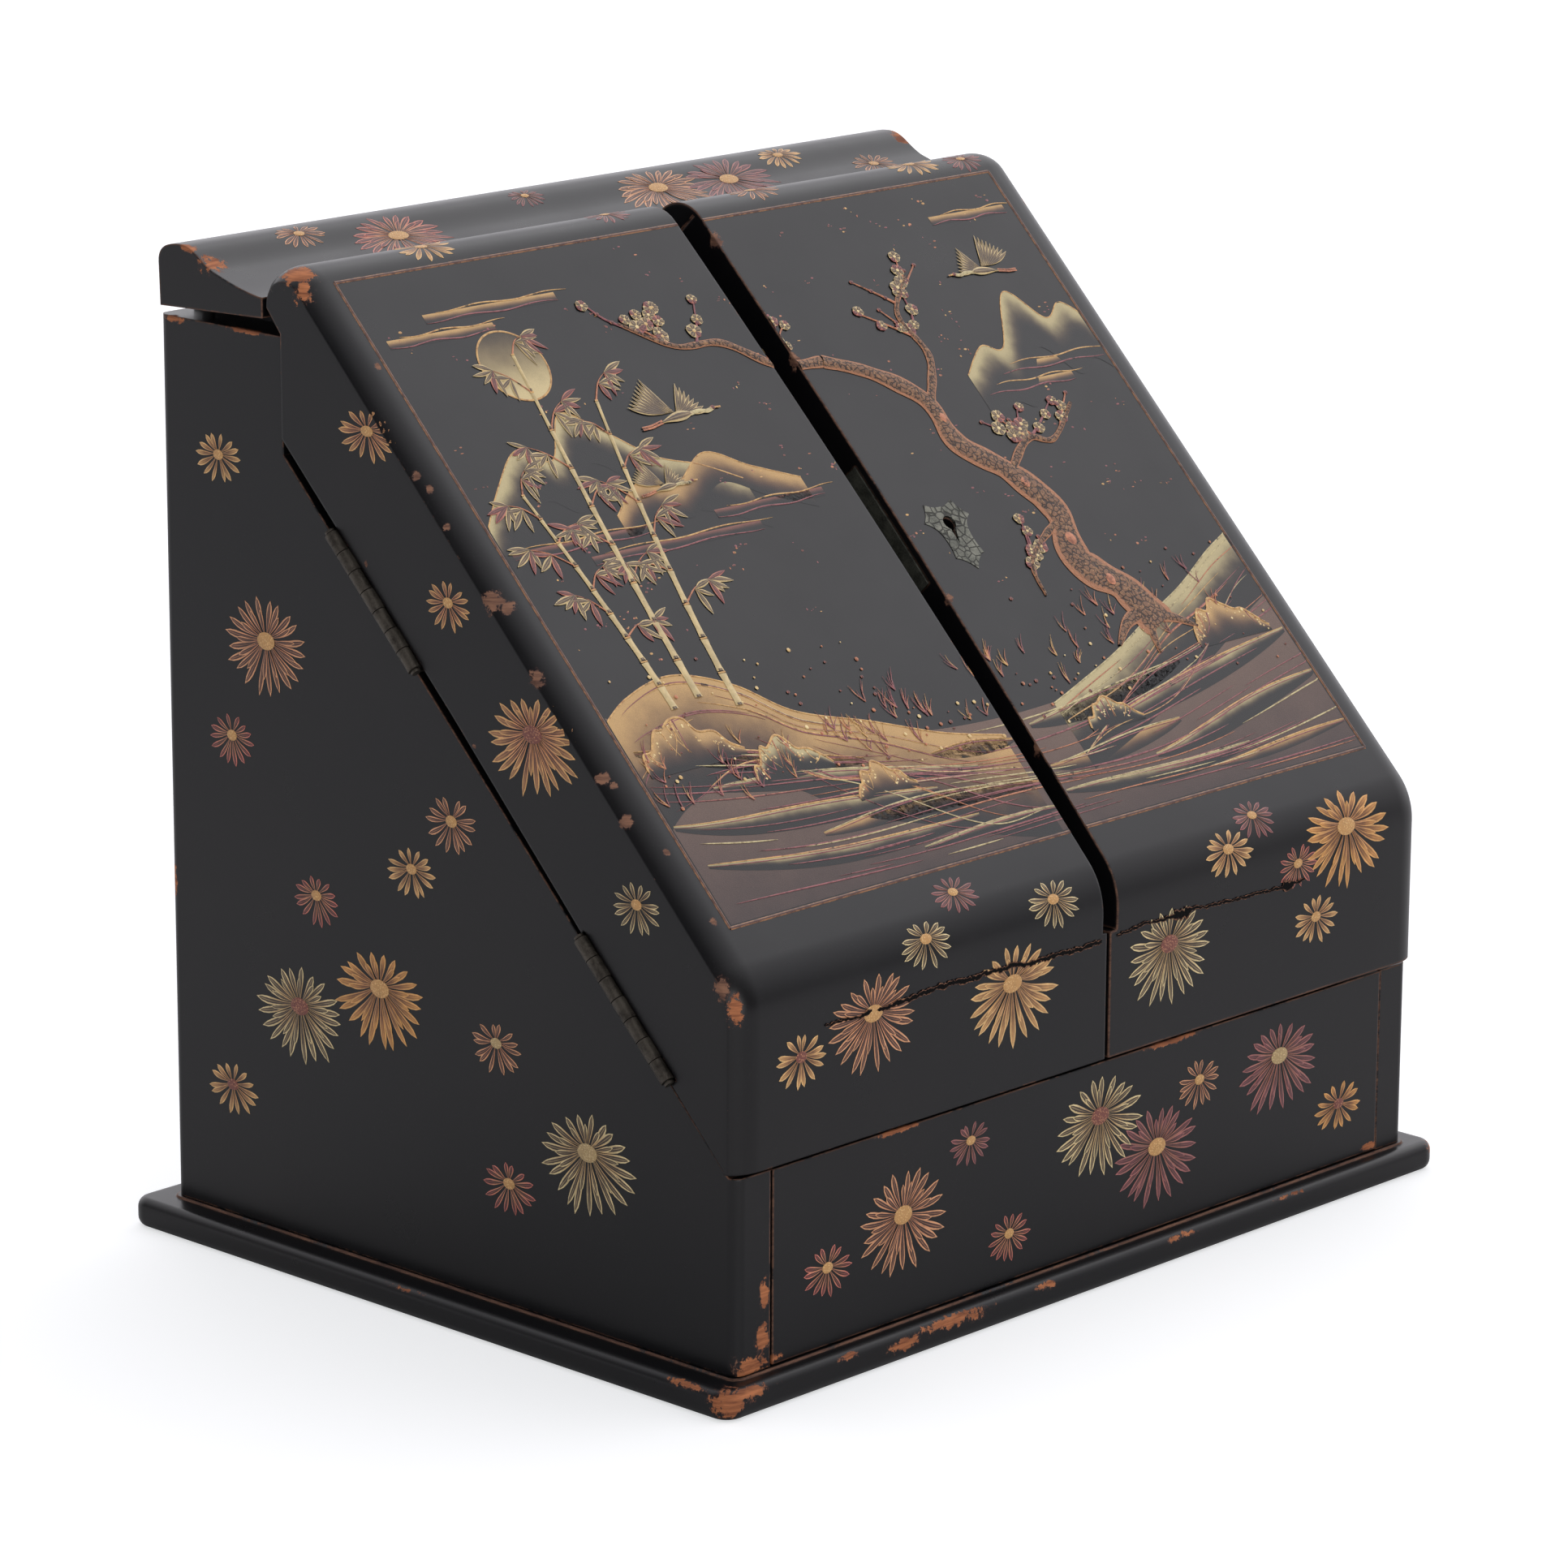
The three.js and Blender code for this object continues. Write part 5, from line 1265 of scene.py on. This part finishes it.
def hills(made):
    """Far hills and bars of mist."""
    for level, (places, depth, paint) in enumerate(HILLS):
        top = curve(places, 80)
        made.band(top, moved(top, -depth), paint, 0.01 + 0.02 * level, 8)
        made.ribbon(top, 0.24, GOLD, 0.06 + 0.02 * level, 0.06)
    for x, y, length in MIST:
        steps = [(x + length * k / 24, k) for k in range(25)]
        for part in (0, 1):
            line = [(px + part * 6, y + part * 3.4 + 0.5 * math.sin(k * 0.5 + x)) for px, k in steps]
            made.ribbon(line, tapered(0.26), GOLD if part else MAUVE, 0.1, 0.06)
        top = [(px, y + 3.0) for px, k in steps]
        made.band(top, moved(top, -3.4), WARM_DUST if y > 180 else RED_DUST, 0.03, 3)


def moon(made):
    centre = (-104, 226)
    radius = 13.5
    made.disc(centre, (radius, radius), MOON, 0.05, 0.05, 48)
    ring = [polar(centre, radius, math.tau * k / 60) for k in range(61)]
    made.ribbon(ring, 0.35, GOLD, 0.1, 0.08)


def crane(made, x, y, size, flip):
    """A flying crane in a few strokes."""
    def spot(a, b):
        return x + flip * a * size, y + b * size

    def feather(base, tip, half, bend, lift, widest=0.5, crown=0.1):
        made.leaf(spot(*base), spot(*tip), half * size, LEAF, bend * flip, lift, widest, crown)

    def stroke(places, half, paint, lift, crown):
        made.ribbon([spot(*place) for place in places], half * size, paint, lift, crown)

    for k in range(9):
        feather((0.02 - 0.035 * k, 0.14), (-0.35 - 0.085 * k, 0.98 - 0.07 * k), 0.055, 0.1, 0.26 + 0.01 * k)
    for k in range(8):
        feather((0.06 + 0.03 * k, 0.1), (0.46 + 0.06 * k, 0.74 - 0.1 * k), 0.05, -0.1, 0.28 + 0.01 * k)
    feather((-0.42, -0.04), (0.46, 0.04), 0.11, 0.05, 0.4, 0.6, 0.25)
    neck = curve(((0.38, 0.03), (0.62, 0.06), (0.84, 0.02), (1.0, 0.06)), 16)
    stroke(neck, 0.045, PALE, 0.42, 0.15)
    made.disc(spot(1.02, 0.07), (0.06 * size, 0.05 * size), RED_LEAF, 0.46, 0.2, 10)
    stroke(((1.05, 0.07), (1.22, 0.06)), 0.02, GOLD, 0.44, 0.1)
    for shift in (-0.02, 0.03):
        stroke(moved(((-0.4, -0.03), (-0.72, -0.09), (-0.98, -0.1)), shift), 0.02, COPPER, 0.38, 0.08)


def grasses(made, draw):
    """Blades, small leaves and dots on the banks."""
    for index in range(70):
        x = draw.uniform(-150, 150)
        ground = 58 + 0.1 * (x + 150) if x > -60 else 66
        y = ground + draw.uniform(-6, 16)
        for blade in range(draw.randint(3, 6)):
            tip = (x + draw.uniform(-4, 4), y + draw.uniform(3.5, 8.5))
            line = curve([(x, y), ((x + tip[0]) / 2 - 0.6, (y + tip[1]) / 2), tip], 7)
            made.ribbon(line, brushed(0.24), draw.choice((MAUVE, MAUVE, GOLD, COPPER)), 0.26, 0.06)
    for index in range(150):
        x = draw.uniform(-150, 150)
        y = draw.uniform(60, 112) if abs(x) > 40 else draw.uniform(58, 82)
        radius = draw.uniform(0.3, 0.8)
        made.disc((x, y), (radius, radius), draw.choice((RED_LEAF, COPPER, FLAKE)), 0.26, 0.15, 7)


def rubbed_spots(made, draw):
    """Traces of lost dust and leaves in the empty sky."""
    for index in range(130):
        x = draw.uniform(-148, 148)
        y = draw.uniform(112, 262)
        for part in range(draw.randint(1, 5)):
            spot = (x + draw.uniform(-3.0, 3.0), y + draw.uniform(-2.0, 2.0))
            radii = (draw.uniform(0.18, 0.8), draw.uniform(0.12, 0.5))
            made.disc(spot, radii, draw.choice((COPPER, MAUVE, MAUVE, RED_LEAF, GOLD)), 0.02, 0.03, 7)


LEFT_BANK = ((-156, 96), (-140, 104), (-118, 108), (-96, 100), (-78, 86), (-50, 76), (-24, 66), (0, 60))
RIGHT_BANK = ((156, 112), (140, 106), (118, 96), (96, 88), (70, 78), (44, 70), (30, 66))
# Across and up, with the size and dust of a rock, the height and lean of a culm, the size and way of a crane
ROCKS = (
    (-128, 78, 21, WARM_DUST), (-92, 66, 17, PALE_DUST), (-60, 52, 13, WARM_DUST),
    (128, 74, 19, WARM_DUST), (52, 54, 13, PALE_DUST),
)
CULMS = ((-112, 98, 132, 10), (-98, 92, 116, 18), (-124, 96, 84, -8))
CRANES = ((-52, 196, 17, 1), (-74, 172, 12, 1), (122, 228, 15, -1))


def picture(side):
    """Plum, bamboo, cranes and moon over a stream, clipped to one door."""
    draw = random.Random("picture")
    limits = meeting_limits(side, FRAME_SIDE - 1.2, 0.15, SLOPE_SHIFT)
    made = Ornament(slope_front, COAT + PICTURE_LIFT, limits)
    hills(made)
    moon(made)
    stream(made, draw)
    bank(made, draw, LEFT_BANK, 40, WARM_DUST, GOLD, 0.02, 11, 3.1)
    bank(made, draw, RIGHT_BANK, 26, PALE_DUST, PALE, 0.03, 8, 2.8)
    for x, y, size, paint in ROCKS:
        rock(made, draw, x, y, size, paint)
    for x, y, height, lean in CULMS:
        bamboo(made, draw, x, y, height, lean)
    plum_tree(made, draw)
    for x, y, size, flip in CRANES:
        crane(made, x, y, size, flip)
    grasses(made, draw)
    rubbed_spots(made, draw)
    made.piece(f"{SIDES[side]}_door_picture", PICTURE_PAINTS, f"{SIDES[side]}_door")


for side in SIDES:
    picture(side)


# Screws of the hinge leaves: three heads on the face that the leaf turns to its fellow, each with a slot of
# painted shade
def leaf_face(name, pin):
    """Middle in m, directions across, along and out, and half sizes in mm of a leaf's inner face."""
    leaf = nodes[name]
    turn = leaf.matrix_world.to_3x3()
    low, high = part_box(pin)
    axis = (Vector(low) + Vector(high)) / 2.0
    faces = [
        ((turn @ face.normal).normalized(), leaf.matrix_world @ face.center, face)
        for face in leaf.data.polygons
    ]
    inner = [entry for entry in faces if entry[0].dot(axis - entry[1]) > 0.0]
    out, middle, _ = max(inner, key=lambda entry: entry[2].area)
    level = middle.dot(out)
    corners = [
        leaf.matrix_world @ leaf.data.vertices[index].co
        for normal, centre, face in faces
        if normal.dot(out) > 0.999 and abs(centre.dot(out) - level) < 0.05 * MM
        for index in face.vertices
    ]
    sideways = Vector((1.0, 0.0, 0.0))
    along = sideways if high[0] - low[0] > high[2] - low[2] else out.cross(sideways).normalized()
    across = out.cross(along).normalized()
    middle = out * level
    halves = []
    for direction in (across, along):
        reach = [corner.dot(direction) for corner in corners]
        middle += direction * (min(reach) + max(reach)) / 2.0
        halves.append((max(reach) - min(reach)) / 2.0 / MM)
    if across.dot(middle - axis) < 0.0:
        across = -across
    return middle, across, along, out, halves


def screws(name, pin, body):
    middle, across, along, out, (half_width, half_length) = leaf_face(name, pin)

    def surface(x, y, lift=0.0):
        return middle + (across * x + along * y + out * lift) * MM

    made = Ornament(surface, 0.01)
    radius = min(1.9, 0.36 * half_width)
    for index in (-1, 0, 1):
        head = ((0.12 if index else 0.4) * half_width, index * 0.64 * half_length)
        made.disc(head, (radius, radius), 0, 0.0, 0.02)
        turned = 0.7 + 1.3 * index
        # The slot is a flat strip of near-black metal across the head: painted shade standing for the cut,
        # which isn't modelled
        slot = [polar(head, reach, turned) for reach in (-0.86 * radius, 0.86 * radius)]
        made.ribbon(slot, 0.22, 1, 0.03, 0.0)
    made.piece(f"{name}_screws", screw_paints, body, "hinge_brass")


screw_paints = [
    metal("screw_metal", (0.24, 0.2, 0.15), (0.12, 0.1, 0.075), 0.36),
    # Near-black metal of the slots: painted shade
    metal("screw_slot_painted_shade", (0.012, 0.011, 0.01), (0.006, 0.006, 0.006), 0.8),
]
for word in SIDES.values():
    for hinge, leaf, body in (
        (f"{word}_door_upper_hinge", "door_leaf", f"{word}_door"),
        (f"{word}_door_lower_hinge", "door_leaf", f"{word}_door"),
        (f"lid_{word}_hinge", "lid_leaf", "top_flap"),
    ):
        screws(f"{hinge}_case_leaf", f"{hinge}_pin", "case")
        screws(f"{hinge}_{leaf}", f"{hinge}_pin", body)


# Studio: a white floor that glows a little for the camera
def studio_floor():
    graph = Paint("studio_floor")
    lit = graph.node("ShaderNodeBsdfDiffuse", {"Color": (0.6, 0.6, 0.605)})
    rays = graph.node("ShaderNodeLightPath").outputs
    level = graph.times(rays["Is Camera Ray"], 0.6, graph.times(rays["Is Glossy Ray"], 0.06))
    glow = graph.node("ShaderNodeEmission", {"Color": (0.975, 0.99, 1.0), "Strength": level})
    both = graph.node("ShaderNodeAddShader", {0: lit.outputs[0], 1: glow.outputs[0]})
    reach = 14.0
    mesh = bpy.data.meshes.new("studio_floor")
    corners = [(-reach, -reach, 0.0), (reach, -reach, 0.0), (reach, reach, 0.0), (-reach, reach, 0.0)]
    mesh.from_pydata(corners, [], [(0, 1, 2, 3)])
    mesh.materials.append(graph.surface(both))
    floor = bpy.data.objects.new("studio_floor", mesh)
    bpy.context.scene.collection.objects.link(floor)


# Backdrop: bright to the right and behind, with a low band of light on the left, which lights the side
# but isn't mirrored in the arris; plain white for the camera
def backdrop():
    world = bpy.data.worlds.new("studio")
    bpy.context.scene.world = world
    world.use_nodes = True
    graph = Graph(world.node_tree)
    direction = graph.node("ShaderNodeTexCoord").outputs["Generated"]
    brightest = Vector((0.62, 0.42, 0.66)).normalized()
    wide = graph.step(graph.vector("DOT_PRODUCT", direction, brightest), -0.1, 0.75, 0.06, 1.2)
    parts = graph.node("ShaderNodeSeparateXYZ", {0: direction}).outputs
    band = graph.times(graph.step(parts[2], 0.3, 0.08, 0.0, 0.6), graph.step(parts[0], 0.1, -0.55))
    rays = graph.node("ShaderNodeLightPath").outputs
    strength = graph.mix(rays["Is Camera Ray"], graph.most(band, wide), 1.0)
    sky = graph.node("ShaderNodeBackground", {"Color": (1.0, 0.985, 1.03), "Strength": strength})
    graph.node("ShaderNodeOutputWorld", {"Surface": sky.outputs[0]})


def lamp(name, towards, power, spread):
    light = bpy.data.lights.new(name, "SUN")
    light.energy = power
    light.angle = math.radians(spread)
    made = bpy.data.objects.new(name, light)
    bpy.context.scene.collection.objects.link(made)
    made.rotation_euler = Vector(towards).to_track_quat("Z", "Y").to_euler()


studio_floor()
backdrop()
lamp("key", (0.62, 0.1, 0.85), 0.45, 55.0)
lamp("front", (-0.35, -0.93, 0.1), 1.3, 40.0)


bpy.context.scene.view_settings.view_transform = "Standard"

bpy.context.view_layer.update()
